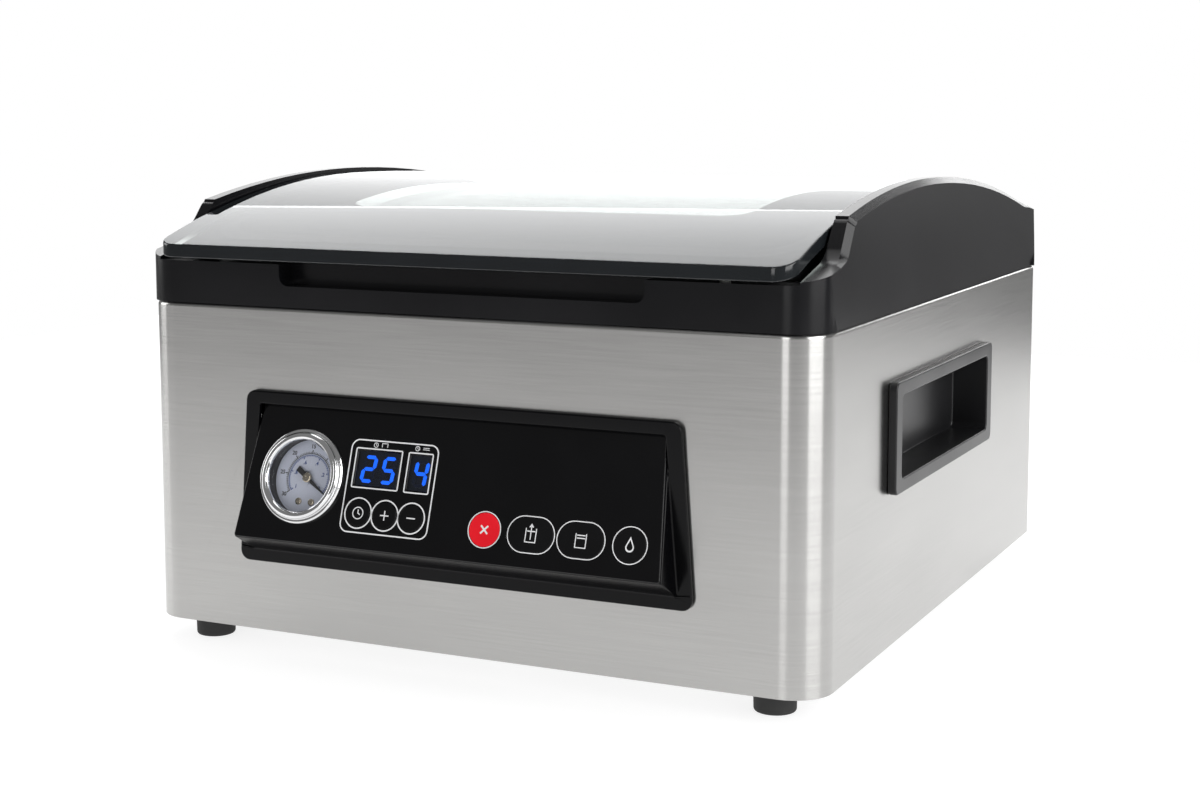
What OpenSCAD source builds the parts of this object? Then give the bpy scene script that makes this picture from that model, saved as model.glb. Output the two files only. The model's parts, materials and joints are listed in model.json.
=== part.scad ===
// Tabletop vacuum chamber sealer.
// Origin: centre of the whole footprint on the surface it stands on.
// Seen from the front, +X is to the right, +Y to the rear and +Z up.

/* [Case] */
// Width of the sheet steel case
body_w = 360; // [356:1:366]
// Depth of the sheet steel case
body_d = 388; // [384:1:396]
// Height of the sheet steel case above its feet
shell_h = 162; // [160:1:164]
// Radius of the two front vertical corners
corner_r = 19.5; // [16:0.5:22]
// Thickness of the steel sheet
sheet_t = 1.2; // [1:0.1:1.5]
// Height of the rubber feet
foot_h = 11; // [9:1:13]
// Radius of a rubber foot
foot_r = 10; // [9:0.5:11]

/* [Top frame and lid] */
// Height of the moulded frame's front band above the case
band_h = 21; // [20:0.5:22]
// Height of the side cheeks' crest above the case
cheek_rise = 60.4; // [60:0.2:62]
// Thickness of a side cheek
cheek_t = 11.6; // [10:0.2:12]
// Thickness of the curved glass
glass_t = 6.5; // [5:0.5:7]
// How far the lid's lip stands in front of the case
lip_proud = 5; // [3:0.5:6]

/* [Vacuum chamber] */
// Inside half width of the chamber
tub_hw = 152; // [148:1:153]
// Inside half depth of the chamber
tub_hd = 150; // [146:1:151]
// Depth of the chamber below its rim
tub_depth = 97; // [90:1:100]
// Length of the heat seal bar
bar_len = 290; // [270:5:292]
// Lift of the seal bar when it clamps a bag
bar_lift = 6; // [4:0.5:6]

/* [Control panel] */
// Tilt of the control fascia from vertical, in degrees
tilt = 18.6; // [18:0.2:19]
// How far the fascia's lower edge stands in front of the case
fascia_proud = 20; // [19.5:0.5:21]
// Travel of a push button
key_travel = 0.6; // [0.4:0.1:0.6]
// Outside radius of the pressure gauge's ring
gauge_r = 23.2; // [22.5:0.1:23.4]

/* [Hidden] */
$fn = 64;

// Clearance cut past a face so that a subtraction leaves no skin
eps = 0.5;
// Gap between two bodies that move past each other
gap = 0.3;

// Case
inlet_proud = 2;
front_y = -(body_d + fascia_proud + inlet_proud) / 2 + fascia_proud;
back_y = front_y + body_d;
mid_y = (front_y + back_y) / 2;
shell_z = foot_h + shell_h;
rear_corner_r = 4;
return_w = 14;
roll_w = 5;
foot_x = body_w / 2 - 27;
foot_inset = 19;
foot_bore_r = 2.2;
rear_screw_r = 1.6;
vent_w = 3;
vent_l = 34;
vent_pitch = 9;
vent_rows = 44;
opening_lap = 5;

// Top frame
frame_proud = 0.6;
frame_wall = 3;
band_z = shell_z + band_h;
deck_z = band_z - 4.5;
deck_t = 4;
band_t = 15;
crest_y = mid_y - 20;
cheek_z = shell_z + cheek_rise;
cheek_front_arc = 680;
cheek_rear_arc = 860;
cheek_x = body_w / 2 + frame_proud - cheek_t;
cheek_lean = 3;
recess_hw = 97;
recess_z = band_z - 10.6;
recess_depth = 11;
recess_r = 5;
bridge_y = back_y - 17.5;
bridge_z = cheek_z - 27;
lip_drop = 6;

// Lid
lid_hw = cheek_x - 1.5;
lid_z = cheek_z - 1.8;
lid_front_arc = 560;
lid_rear_arc = cheek_rear_arc;
lid_front_y = front_y - lip_proud;
lid_back_y = bridge_y - 9;
lid_front_r = 10;
hinge_y = lid_back_y - 7;
hinge_z = deck_z + 8.5;
hinge_r = 5.5;
hinge_x = 118;
hinge_ear = 4;
hinge_knuckle = 15;
hinge_foot_t = 3;
pin_r = 3;
window_hw = 112;
window_front_y = front_y + 84;
window_back_y = 118;
window_r = 14;
border_t = 0.4;

// Chamber
rim_w = 12;
rim_z = deck_z + sheet_t;
tub_z = rim_z - tub_depth;
tub_r = 25;
ring_out = tub_hw + 11;
ring_in = tub_hw + 1;
ring_out_y = tub_hd + 13;
ring_in_y = tub_hd + 3;
ring_z = rim_z + 2.3;
seal_w = 7;
seal_z = rim_z + gap;
bar_y = -tub_hd + 25;
bar_w = 14;
bar_h = 24;
bar_z = rim_z - 5.7;
wire_w = 5;
wire_t = 0.2;
tape_t = 0.15;
tape_h = 9;
plunger_seat = 6;
plunger_x = 100;
plunger_r = 4;
sleeve_r = 11;
sleeve_h = 45;
sleeve_neck_r = 7;
sleeve_nut_r = 10;
port_r = 6;
barb_r = 3.6;
barb_bore_r = 2;
running_fit = 0.08;
counter_gap = bar_z + bar_lift + 0.5;
counter_t = 5;

// Control panel, in the fascia's own plane: x across, y up its slope, z out of it
fascia_z = foot_h + 51.5;
fascia_len = 66;
fascia_hw = [113, 107.4];
fascia_t = 1.2;
flange_t = 3;
flange_z = [foot_h + 35.4, foot_h + 120.8];
flange_hw = [121.5, 115.6];
flange_w = 7.4;
flange_r = 5;
pocket_wall = 2.5;
panel_hole_hw = 109;
gauge_at = [-79.4, 32];
gauge_depth = 22;
gauge_case_r = 19.9;
dial_r = 17.6;
dial_depth = 6;
dial_t = 0.8;
bar_gap = 0.3;
windows = [[-38.5, 38.7, 24.6, 18.2], [-15.7, 38.5, 12.4, 18.2]];
key_gap = 0.25;
key_r = 6.3;
round_key_r = 7.9;
oval_key_hw = 11.4;
key_rise = 0.15;
key_lip = 0.8;
key_lip_z = -fascia_t - gap;
board_z = -9;
board_t = 1.6;
switch_w = 6;
switch_h = 2;
key_stem = -board_z - switch_h - key_travel - gap - 0.1;
key_stem_r = 2;
display_block = [44, 21, 5.4];
small_keys = [[-45.1, 17.1], [-30.5, 17.1], [-16.1, 17.1]];
round_keys = [[23.2, 15.5], [96.6, 15.3]];
oval_keys = [[47.2, 15.4], [72.4, 15.3]];

// Carry handle pockets
handle_proud = 4.3;
handle_hw = 88.7;
handle_z = [foot_h + 75, foot_h + 129.2];
handle_rim = [9.5, 7];
handle_wall = 2;
handle_depth = 19.5;
handle_r = 4;

// Pump and motor, on one shaft along X
shaft_y = 105;
shaft_z = foot_h + 41;
shaft_r = 4;
motor_x = [-40, 70];
motor_r = 36;
fan_x = -60;
fan_r = 30;
head_x = [76, 128];
head_bore = 22;
head_offset = 3;
pump_hw = 30;
fin_hw = 34;
damper_h = 6;
outlet_z = shaft_z + 18;
port_x = head_x[1] - 24;
port_z = tub_z + 60;
hose_bend = 13;
hose_y = 190;
hose_lap = 0.1;
hose_r = 5;
port_hose_bore = 3.6;
gauge_hose_bore = 4.1;
core_at = [-160, 40, foot_h + sheet_t];
core = [66, 30, 56];
valve_y = -44;
valve_z = foot_h + sheet_t + 12;

// Rear fittings
// Inlet and switch: where each is on the back, and the half width and half height of its opening
inlet_at = [-120, foot_h + 38];
inlet_hole = [14, 10.5];
switch_at = [-66, foot_h + 38];
switch_hole = [12, 8.5];
hole_play = [0.2, 0.3];
rocker_hw = 9.8;
rocker_hh = 6.4;
rocker_turn = 12;
rocker_y = back_y - 0.8;
lid_plunger_at = [130, front_y + 13];
lid_plunger_r = 2.5;
lid_plunger_z = [shell_z - 5, lid_z - 32];

// ---------- shared shapes ----------

// Rectangle whose four corners have radii [front, rear], as an exact outline
module plate_2d(x0, x1, y0, y1, rf, rr) {
    for (c = [[x0, y0, 1, 1, rf], [x1, y0, -1, 1, rf], [x0, y1, 1, -1, rr], [x1, y1, -1, -1, rr]])
        translate([c[0] + c[2] * c[4], c[1] + c[3] * c[4]]) circle(r = c[4]);
    translate([x0 + rf, y0]) square([x1 - x0 - 2 * rf, y1 - y0 - rr]);
    translate([x0 + rr, y0 + rf]) square([x1 - x0 - 2 * rr, y1 - y0 - rf]);
    translate([x0, y0 + rf]) square([x1 - x0, y1 - y0 - rf - rr]);
}

module plate(x0, x1, y0, y1, z0, z1, rf, rr) {
    translate([0, 0, z0]) linear_extrude(z1 - z0) plate_2d(x0, x1, y0, y1, rf, rr);
}

// Axis-aligned block between two corners
module block(a, b) {
    translate(a) cube(b - a);
}

// Block about a point [x, z] of the back, with a half width and half height, between two y values
module rear_block(at, half, y0, y1) {
    block([at[0] - half[0], y0, at[1] - half[1]], [at[0] + half[0], y1, at[1] + half[1]]);
}

// Cylinder along X, between two x values
module rod_x(x0, x1, y, z, r) {
    translate([x0, y, z]) rotate([0, 90, 0]) cylinder(r = r, h = x1 - x0);
}

// Cylinder along Y, between two y values
module rod_y(y0, y1, x, z, r) {
    translate([x, y1, z]) rotate([90, 0, 0]) cylinder(r = r, h = y1 - y0);
}

// Solid below an arch that runs front to back, with a front and a rear radius
module under_arch(front_arc, rear_arc, top_z, w) {
    reach = 230;
    drop = 150;
    for (half = [[front_arc, -reach], [rear_arc, 0]])
        intersection() {
            translate([0, crest_y, top_z - half[0]]) rotate([0, 90, 0])
                cylinder(r = half[0], h = w, center = true, $fn = 720);
            translate([-w / 2, crest_y + half[1], top_z - drop]) cube([w, reach, drop + eps]);
        }
}

// Points of the arc that rounds the corner q between p and s with radius r
function unit(v) = v / norm(v);
function corner_arc(p, q, s, r, n = 10) =
    let (
        a = unit(p - q),
        b = unit(s - q),
        half = acos(a * b) / 2,
        c = q + unit(a + b) * r / sin(half),
        t0 = q + a * r / tan(half),
        t1 = q + b * r / tan(half),
        a0 = atan2(t0[1] - c[1], t0[0] - c[0]),
        turn = atan2(t1[1] - c[1], t1[0] - c[0]) - a0,
        sweep = turn > 180 ? turn - 360 : turn < -180 ? turn + 360 : turn
    )
    [for (i = [0:n]) c + r * [cos(a0 + sweep * i / n), sin(a0 + sweep * i / n)]];

// Places children in the plane of the tilted fascia
module on_fascia() {
    translate([0, front_y - fascia_proud, fascia_z]) rotate([90 - tilt, 0, 0]) children();
}

// Extrudes a side outline, given as [y, z], along X about the middle
module side_profile(points, w) {
    rotate([90, 0, 90]) linear_extrude(w, center = true) polygon(points);
}

// Straight hose between two points of the plane x = 0, running a little into the bends at its ends
module tube(p, q, r_out, r_in) {
    run = norm(q - p);
    translate([0, p[0], p[1]]) rotate([acos((q[1] - p[1]) / run) * (q[0] < p[0] ? 1 : -1), 0, 0])
        translate([0, 0, -hose_lap]) linear_extrude(run + 2 * hose_lap) difference() {
            circle(r = r_out);
            circle(r = r_in);
        }
}

// Hose bend in the plane x = 0 about centre c, from angle a0 through sweep a, from +Y towards +Z.
// Its wall is a little thicker than the straight hose's, whose ends sink into it.
module bend(c, bend_r, a0, a, r_out, r_in) {
    translate([0, c[0], c[1]]) rotate([a0, 0, 0]) rotate([90, 0, 90]) rotate_extrude(angle = a)
        translate([bend_r, 0]) difference() {
            circle(r = r_out + hose_lap / 2);
            circle(r = r_in - hose_lap / 2);
        }
}

// Pan head screw whose head sits at z = 0 and whose shank points down
module screw(head_r, head_h, shank_r, shank_l) {
    difference() {
        cylinder(r = head_r, h = head_h, $fn = 32);
        for (a = [0, 90])
            rotate([0, 0, a]) translate([-head_r * 0.6, -0.5, head_h * 0.5]) cube([head_r * 1.2, 1, head_h]);
    }
    translate([0, 0, -shank_l]) cylinder(r = shank_r, h = shank_l + 0.1, $fn = 24);
}

// ---------- case ----------

module case_outline(inset, z0, z1) {
    plate(-body_w / 2 + inset, body_w / 2 - inset, front_y + inset, back_y - inset,
        z0, z1, corner_r - inset, max(rear_corner_r - inset, 1));
}

module steel_shell() {
    color([0.72, 0.71, 0.69])
    difference() {
        case_outline(0, foot_h, shell_z);
        case_outline(sheet_t, foot_h - eps, shell_z - sheet_t);
        case_outline(roll_w, foot_h, shell_z + eps);
        // rear opening for the back panel
        block([-body_w / 2 + return_w, back_y - roll_w - eps, foot_h - eps],
            [body_w / 2 - return_w, back_y + eps, shell_z - sheet_t - 4]);
        // opening behind the control panel
        block([-panel_hole_hw, front_y - eps, flange_z[0] + opening_lap + 1],
            [panel_hole_hw, front_y + corner_r, flange_z[1] - opening_lap - 1]);
        for (p = rear_screw_places()) rod_y(back_y - 9, back_y + eps, p[0], p[1], rear_screw_r + 0.1);
        // openings for the handle pockets
        for (s = [-1, 1])
            block([s * body_w / 2 - 10, -handle_hw + opening_lap, handle_z[0] + opening_lap - 1],
                [s * body_w / 2 + 10, handle_hw - opening_lap, handle_z[1] - opening_lap + 1]);
    }
}

module back_panel() {
    y0 = back_y - 2 * sheet_t;
    y1 = back_y - sheet_t;
    vent_z = foot_h + 62;
    color([0.62, 0.62, 0.62])
    difference() {
        block([-body_w / 2 + rear_corner_r + 2, y0, foot_h + sheet_t],
            [body_w / 2 - rear_corner_r - 2, y1, shell_z - sheet_t]);
        // two fields of vents: where each starts and how many slots it is wide
        for (field = [[38, 11], [-32, 9]], i = [0:field[1] - 1], row = [0, 1])
            block([field[0] + i * vent_pitch, y0 - eps, vent_z + row * vent_rows],
                [field[0] + i * vent_pitch + vent_w, y1 + eps, vent_z + row * vent_rows + vent_l]);
        rear_block(inlet_at, inlet_hole, y0 - eps, y1 + eps);
        rear_block(switch_at, switch_hole, y0 - eps, y1 + eps);
        for (p = rear_screw_places()) rod_y(back_y - 9, back_y + eps, p[0], p[1], rear_screw_r + 0.1);
    }
}

module base_plate() {
    z0 = foot_h - eps;
    z1 = foot_h + sheet_t + eps;
    vents_x = -70;
    vents_y = 40;
    color([0.6, 0.6, 0.6])
    difference() {
        case_outline(sheet_t, foot_h, foot_h + sheet_t);
        for (i = [-6:6], row = [-1, 1])
            block([vents_x + i * vent_pitch - vent_w / 2, row * vents_y - vent_l / 2, z0],
                [vents_x + i * vent_pitch + vent_w / 2, row * vents_y + vent_l / 2, z1]);
        for (p = foot_places()) translate([p[0], p[1], z0]) cylinder(r = foot_bore_r, h = z1 - z0);
    }
}

function foot_places() = [
    for (x = [-foot_x, foot_x], y = [front_y + foot_inset, back_y - foot_inset - 6]) [x, y]
];

function rear_screw_places() = [
    for (x = [-body_w / 2 + 9, body_w / 2 - 9], z = [foot_h + 20, foot_h + 80, foot_h + 140]) [x, z]
];

module rubber_feet() {
    // counterbore for the screw's head
    head_r = 4.6;
    head_z = 4;
    color([0.08, 0.08, 0.08])
    for (p = foot_places()) translate([p[0], p[1], 0])
        rotate_extrude() polygon([
            [head_r, 0], [foot_r - 1, 0], [foot_r - 0.2, 0.8], [foot_r, foot_h],
            [foot_bore_r, foot_h], [foot_bore_r, head_z], [head_r, head_z]
        ]);
}

module case_screws() {
    color([0.75, 0.75, 0.75]) {
        for (p = foot_places()) translate([p[0], p[1], 4]) rotate([180, 0, 0]) screw(4, 2.2, 2, 12);
        for (p = rear_screw_places())
            translate([p[0], back_y, p[1]]) rotate([-90, 0, 0]) screw(3.5, 1.8, rear_screw_r, 9);
    }
}

// ---------- top frame ----------

// Side outline of the frame with its cheeks, before the arch is cut
function cheek_outline() =
    let (
        front = front_y - frame_proud,
        tail = [front, band_z + 1],
        dip = [crest_y - 142.5, band_z + 8.8],
        shoulder = [crest_y - 128.5, cheek_z - 13.6],
        behind = [crest_y, cheek_z + 30]
    )
    concat(
        [[back_y, shell_z], [front, shell_z], tail],
        corner_arc(tail, dip, shoulder, 20, 14),
        corner_arc(dip, shoulder, shoulder + [20, 5], 5, 8),
        [[shoulder[0] + 20, cheek_z + 30], behind, [back_y, cheek_z + 30]]
    );

module frame_block(inset, z0, z1) {
    plate(-body_w / 2 - frame_proud + inset, body_w / 2 + frame_proud - inset,
        front_y - frame_proud + inset, back_y - inset, z0, z1, corner_r, rear_corner_r);
}

// Everything between the frame's sides, which lean inwards above the case
module between_sides() {
    w = body_w / 2 + frame_proud;
    translate([0, back_y + eps, 0]) rotate([90, 0, 0]) linear_extrude(body_d + 2 * fascia_proud)
        polygon(taper([shell_z, cheek_z], [w, w - cheek_lean]));
}

module top_frame() {
    top = cheek_z + 2;
    color([0.12, 0.12, 0.13])
    difference() {
        union() {
            intersection() {
                between_sides();
                union() {
                    // band, deck and cheeks
                    difference() {
                        intersection() {
                            frame_block(0, shell_z, top);
                            side_profile(cheek_outline(), body_w + 20);
                            under_arch(cheek_front_arc, cheek_rear_arc, cheek_z, body_w + 20);
                        }
                        block([-cheek_x, front_y - 20, deck_z], [cheek_x, bridge_y, top]);
                        block([-cheek_x, bridge_y - eps, bridge_z], [cheek_x, back_y + eps, top]);
                    }
                    // front band above the deck
                    intersection() {
                        frame_block(0, shell_z, band_z);
                        block([-body_w, front_y - 20, shell_z], [body_w, front_y + band_t, band_z]);
                    }
                }
            }
            // locating lip inside the steel
            difference() {
                plate(-body_w / 2 + sheet_t + gap, body_w / 2 - sheet_t - gap, front_y + sheet_t + gap,
                    back_y - 2 * sheet_t - gap, shell_z - sheet_t - lip_drop, shell_z + 1, corner_r - 2, 4);
                plate(-body_w / 2 + roll_w + frame_wall, body_w / 2 - roll_w - frame_wall,
                    front_y + roll_w + frame_wall, back_y - roll_w - frame_wall,
                    shell_z - 2 * lip_drop, shell_z + 2, corner_r - 6, 4);
                difference() {
                    case_outline(-1, shell_z - sheet_t - gap, shell_z);
                    case_outline(roll_w + gap, shell_z - sheet_t - 1, shell_z + 1);
                }
                // room for the rolled edge's lower corner
                difference() {
                    case_outline(-1, shell_z - 20, shell_z - sheet_t);
                    case_outline(roll_w + gap, shell_z - 21, shell_z);
                }
            }
        }
        // hollow underside
        difference() {
            plate(-cheek_x + 2, cheek_x - 2, front_y + band_t + 3, back_y - 10,
                shell_z - eps, deck_z - deck_t, 12, 4);
            // ribs beside the lid switch
            for (s = [-1, 1]) block([s * 120 - 6, -200, shell_z - 1], [s * 120 + 6, -145, deck_z]);
        }
        // opening for the chamber
        plate(-tub_hw - sheet_t - gap, tub_hw + sheet_t + gap, -tub_hd - sheet_t - gap,
            tub_hd + sheet_t + gap, shell_z - 20, band_z, tub_r + sheet_t, tub_r + sheet_t);
        // finger recess under the lip
        block([-recess_hw + recess_r, front_y - 20, recess_z],
            [recess_hw - recess_r, front_y - frame_proud + recess_depth, band_z + eps]);
        block([-recess_hw, front_y - 20, recess_z + recess_r],
            [recess_hw, front_y - frame_proud + recess_depth, band_z + eps]);
        for (s = [-1, 1]) rod_y(front_y - 20, front_y - frame_proud + recess_depth,
            s * (recess_hw - recess_r), recess_z + recess_r, recess_r);
        // lid switch plunger
        translate([lid_plunger_at[0], lid_plunger_at[1], shell_z - eps])
            cylinder(r = lid_plunger_r + gap, h = 60);
    }
}

module chamber_tub() {
    color([0.78, 0.78, 0.77])
    difference() {
        union() {
            plate(-tub_hw - sheet_t, tub_hw + sheet_t, -tub_hd - sheet_t, tub_hd + sheet_t,
                tub_z - sheet_t, rim_z, tub_r + sheet_t, tub_r + sheet_t);
            plate(-tub_hw - rim_w, tub_hw + rim_w, -tub_hd - rim_w, tub_hd + rim_w,
                deck_z, rim_z, tub_r + rim_w, tub_r + rim_w);
        }
        plate(-tub_hw, tub_hw, -tub_hd, tub_hd, tub_z, rim_z + eps, tub_r, tub_r);
        // suction port
        rod_y(tub_hd - eps, tub_hd + 5, port_x, port_z, port_r);
        // sleeves of the seal bar
        for (s = [-1, 1]) translate([s * plunger_x, bar_y, tub_z - 5]) cylinder(r = sleeve_neck_r, h = 10);
    }
}

module vacuum_port() {
    x = port_x;
    z = port_z;
    color([0.75, 0.62, 0.35])
    difference() {
        union() {
            // cap inside the chamber, neck through its wall, nut and hose barb
            rod_y(tub_hd - 1.5, tub_hd, x, z, port_r + 5);
            rod_y(tub_hd - 1, tub_hd + 12, x, z, port_r);
            rod_y(tub_hd + sheet_t, tub_hd + sheet_t + 3, x, z, port_r + 3);
            rod_y(tub_hd + 8, tub_hd + 22, x, z, barb_r);
        }
        rod_y(tub_hd - 4, tub_hd + 24, x, z, barb_bore_r);
        // dimples round the cap
        for (a = [0:60:300])
            rod_y(tub_hd - 4, tub_hd - 0.6, x + port_r * cos(a), z + port_r * sin(a), 1.2);
    }
}

// ---------- seal bar ----------

module bar_lift_sleeves() {
    color([0.8, 0.8, 0.8])
    for (s = [-1, 1]) translate([s * plunger_x, bar_y, 0])
        difference() {
            union() {
                translate([0, 0, tub_z]) cylinder(r = sleeve_r, h = sleeve_h);
                translate([0, 0, tub_z - 12]) cylinder(r = sleeve_neck_r, h = 13);
                translate([0, 0, tub_z - 6]) cylinder(r = sleeve_nut_r, h = 6 - sheet_t);
            }
            translate([0, 0, tub_z - 6]) cylinder(r = plunger_r + running_fit, h = sleeve_h + 10);
        }
}

module bar_plungers() {
    color([0.85, 0.85, 0.85])
    for (s = [-1, 1]) translate([s * plunger_x, bar_y, tub_z - 2])
        cylinder(r = plunger_r, h = bar_z - bar_h + plunger_seat - tub_z + 2);
}

module seal_bar_holder() {
    z0 = bar_z - bar_h;
    color([0.75, 0.75, 0.76])
    difference() {
        block([-bar_len / 2, bar_y - bar_w / 2, z0], [bar_len / 2, bar_y + bar_w / 2, bar_z - 0.5]);
        // hollow along the bar
        block([-bar_len / 2 - eps, bar_y - 4, z0 + 7], [bar_len / 2 + eps, bar_y + 4, z0 + 16]);
        for (s = [-1, 1])
            translate([s * plunger_x, bar_y, z0 - eps]) cylinder(r = plunger_r, h = plunger_seat + eps);
    }
}

module heating_wire() {
    color([0.7, 0.6, 0.5])
    block([-bar_len / 2 + 2, bar_y - wire_w / 2, bar_z - 0.5],
        [bar_len / 2 - 2, bar_y + wire_w / 2, bar_z - 0.5 + wire_t]);
}

module ptfe_tape() {
    w = bar_w / 2;
    z0 = bar_z - tape_h;
    color([0.55, 0.42, 0.28])
    difference() {
        block([-bar_len / 2, bar_y - w - tape_t, z0], [bar_len / 2, bar_y + w + tape_t, bar_z]);
        block([-bar_len / 2 - eps, bar_y - w, z0 - eps], [bar_len / 2 + eps, bar_y + w, bar_z - 0.5]);
        // room for the wire
        block([-bar_len / 2 + 2, bar_y - wire_w / 2, bar_z - 1],
            [bar_len / 2 - 2, bar_y + wire_w / 2, bar_z - 0.5 + wire_t]);
    }
}

// ---------- lid ----------

module lid_outline(z0, z1) {
    plate(-lid_hw, lid_hw, lid_front_y, lid_back_y, z0, z1, lid_front_r, 5);
}

module lid_glass() {
    color([0.25, 0.27, 0.28, 0.8])
    intersection() {
        lid_outline(band_z - 10, lid_z + 5);
        difference() {
            under_arch(lid_front_arc, lid_rear_arc, lid_z, 2 * lid_hw + 10);
            under_arch(lid_front_arc - glass_t, lid_rear_arc - glass_t, lid_z - glass_t, 2 * lid_hw + 12);
        }
    }
}

// Printed black border under the glass, with a clear window
module lid_border() {
    low = lid_z - glass_t;
    inset = 3.5;
    color([0.05, 0.05, 0.06])
    intersection() {
        difference() {
            plate(-lid_hw + inset, lid_hw - inset, lid_front_y + inset, lid_back_y - inset,
                band_z - 10, lid_z, lid_front_r - inset, 2);
            plate(-window_hw, window_hw, window_front_y, window_back_y, band_z - 12, lid_z + 5,
                window_r, window_r);
        }
        difference() {
            under_arch(lid_front_arc - glass_t, lid_rear_arc - glass_t, low, 2 * lid_hw + 10);
            under_arch(lid_front_arc - glass_t - border_t, lid_rear_arc - glass_t - border_t,
                low - border_t, 2 * lid_hw + 12);
        }
    }
}

module lid_frame() {
    low = lid_z - glass_t - border_t;
    color([0.1, 0.1, 0.11])
    difference() {
        intersection() {
            plate(-ring_out, ring_out, -ring_out_y, ring_out_y, ring_z, lid_z, 30, 30);
            under_arch(lid_front_arc - glass_t - border_t, lid_rear_arc - glass_t - border_t,
                low, 2 * ring_out + 10);
        }
        plate(-ring_in, ring_in, -ring_in_y, ring_in_y, ring_z - eps, lid_z + eps, 22, 22);
        gasket_ring(0, ring_z - eps, ring_z + 4);
    }
}

module gasket_ring(play, z0, z1) {
    mid = (ring_out + ring_in) / 2;
    mid_d = (ring_out_y + ring_in_y) / 2;
    w = seal_w / 2 + play;
    difference() {
        plate(-mid - w, mid + w, -mid_d - w, mid_d + w, z0, z1, 27 + w, 27 + w);
        plate(-mid + w, mid - w, -mid_d + w, mid_d - w, z0 - eps, z1 + eps, 27 - w, 27 - w);
    }
}

module lid_gasket() {
    color([0.75, 0.75, 0.72])
    gasket_ring(0, seal_z, ring_z + 4);
}

module counter_bar() {
    z0 = counter_gap + counter_t;
    half = 8;
    flange_h = 11;
    color([0.72, 0.72, 0.73]) {
        block([-ring_in, bar_y - half, z0], [ring_in, bar_y + half, z0 + 2]);
        for (y = [bar_y - half, bar_y + half - 2])
            block([-ring_in, y, z0 + 1.5], [ring_in, y + 2, z0 + flange_h]);
    }
}

module counter_strip() {
    color([0.8, 0.32, 0.2])
    block([-bar_len / 2, bar_y - 5, counter_gap], [bar_len / 2, bar_y + 5, counter_gap + counter_t]);
}

// ---------- hinges ----------

module hinge_brackets() {
    color([0.7, 0.7, 0.71])
    for (s = [-1, 1], e = [-1, 1]) {
        x = s * hinge_x + e * (hinge_knuckle / 2 + gap + hinge_ear / 2);
        difference() {
            union() {
                rod_x(x - hinge_ear / 2, x + hinge_ear / 2, hinge_y, hinge_z, hinge_r);
                block([x - hinge_ear / 2, hinge_y - hinge_r, deck_z],
                    [x + hinge_ear / 2, hinge_y + hinge_r, hinge_z]);
                block([x - hinge_ear / 2, hinge_y - hinge_r, deck_z],
                    [x + hinge_ear / 2, bridge_y - 2, deck_z + hinge_foot_t]);
            }
            rod_x(x - 5, x + 5, hinge_y, hinge_z, pin_r);
        }
    }
}

module hinge_pins() {
    half = hinge_knuckle / 2 + gap + hinge_ear;
    color([0.8, 0.8, 0.8])
    for (s = [-1, 1]) {
        rod_x(s * hinge_x - half, s * hinge_x + half, hinge_y, hinge_z, pin_r);
        rod_x(s * hinge_x - half - 2, s * hinge_x - half, hinge_y, hinge_z, pin_r + 1.5);
    }
}

module hinge_leaves() {
    half = hinge_knuckle / 2;
    color([0.7, 0.7, 0.71])
    for (x = [-hinge_x, hinge_x])
        difference() {
            union() {
                // knuckle, arm and the plate against the lid's frame
                rod_x(x - half, x + half, hinge_y, hinge_z, hinge_r);
                block([x - half, ring_out_y, hinge_z - 2], [x + half, hinge_y, hinge_z + 3]);
                block([x - half, ring_out_y, ring_z + 1], [x + half, ring_out_y + 1.6, hinge_z + 5]);
            }
            rod_x(x - half - eps, x + half + eps, hinge_y, hinge_z, pin_r + running_fit);
        }
}

// ---------- control panel ----------

// Trapezoid between two heights, with its own half widths
function taper(z, h) = [[-h[0], z[0]], [h[0], z[0]], [h[1], z[1]], [-h[1], z[1]]];
function rounded(p, r) = [
    for (i = [0:3]) each corner_arc(p[(i + 3) % 4], p[i], p[(i + 1) % 4], r, 6)
];

module panel_prism(z, h, y0, y1, r) {
    translate([0, y1, 0]) rotate([90, 0, 0]) linear_extrude(y1 - y0) polygon(rounded(taper(z, h), r));
}

// Block that fills everything behind the fascia's back face
module behind_fascia(depth) {
    on_fascia() translate([-200, -40, -200 - depth]) cube([400, 180, 200]);
}

module panel_wedge(inset) {
    inner_z = [flange_z[0] + flange_w - 1 + inset, flange_z[1] - flange_w + 1 - inset];
    inner_hw = [flange_hw[0] - flange_w - inset, flange_hw[1] - flange_w - inset];
    lower = fascia_z + inset * 0.4;
    nose = front_y - fascia_proud;
    intersection() {
        panel_prism(inner_z, inner_hw, nose - 5, front_y + 9, 1.5);
        side_profile([
            [nose + inset * 1.4, lower], [front_y - flange_t, inner_z[0]], [front_y + 9, inner_z[0]],
            [front_y + 9, inner_z[1]], [nose + inset * 1.4, inner_z[1]]
        ], 400);
    }
}

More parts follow.
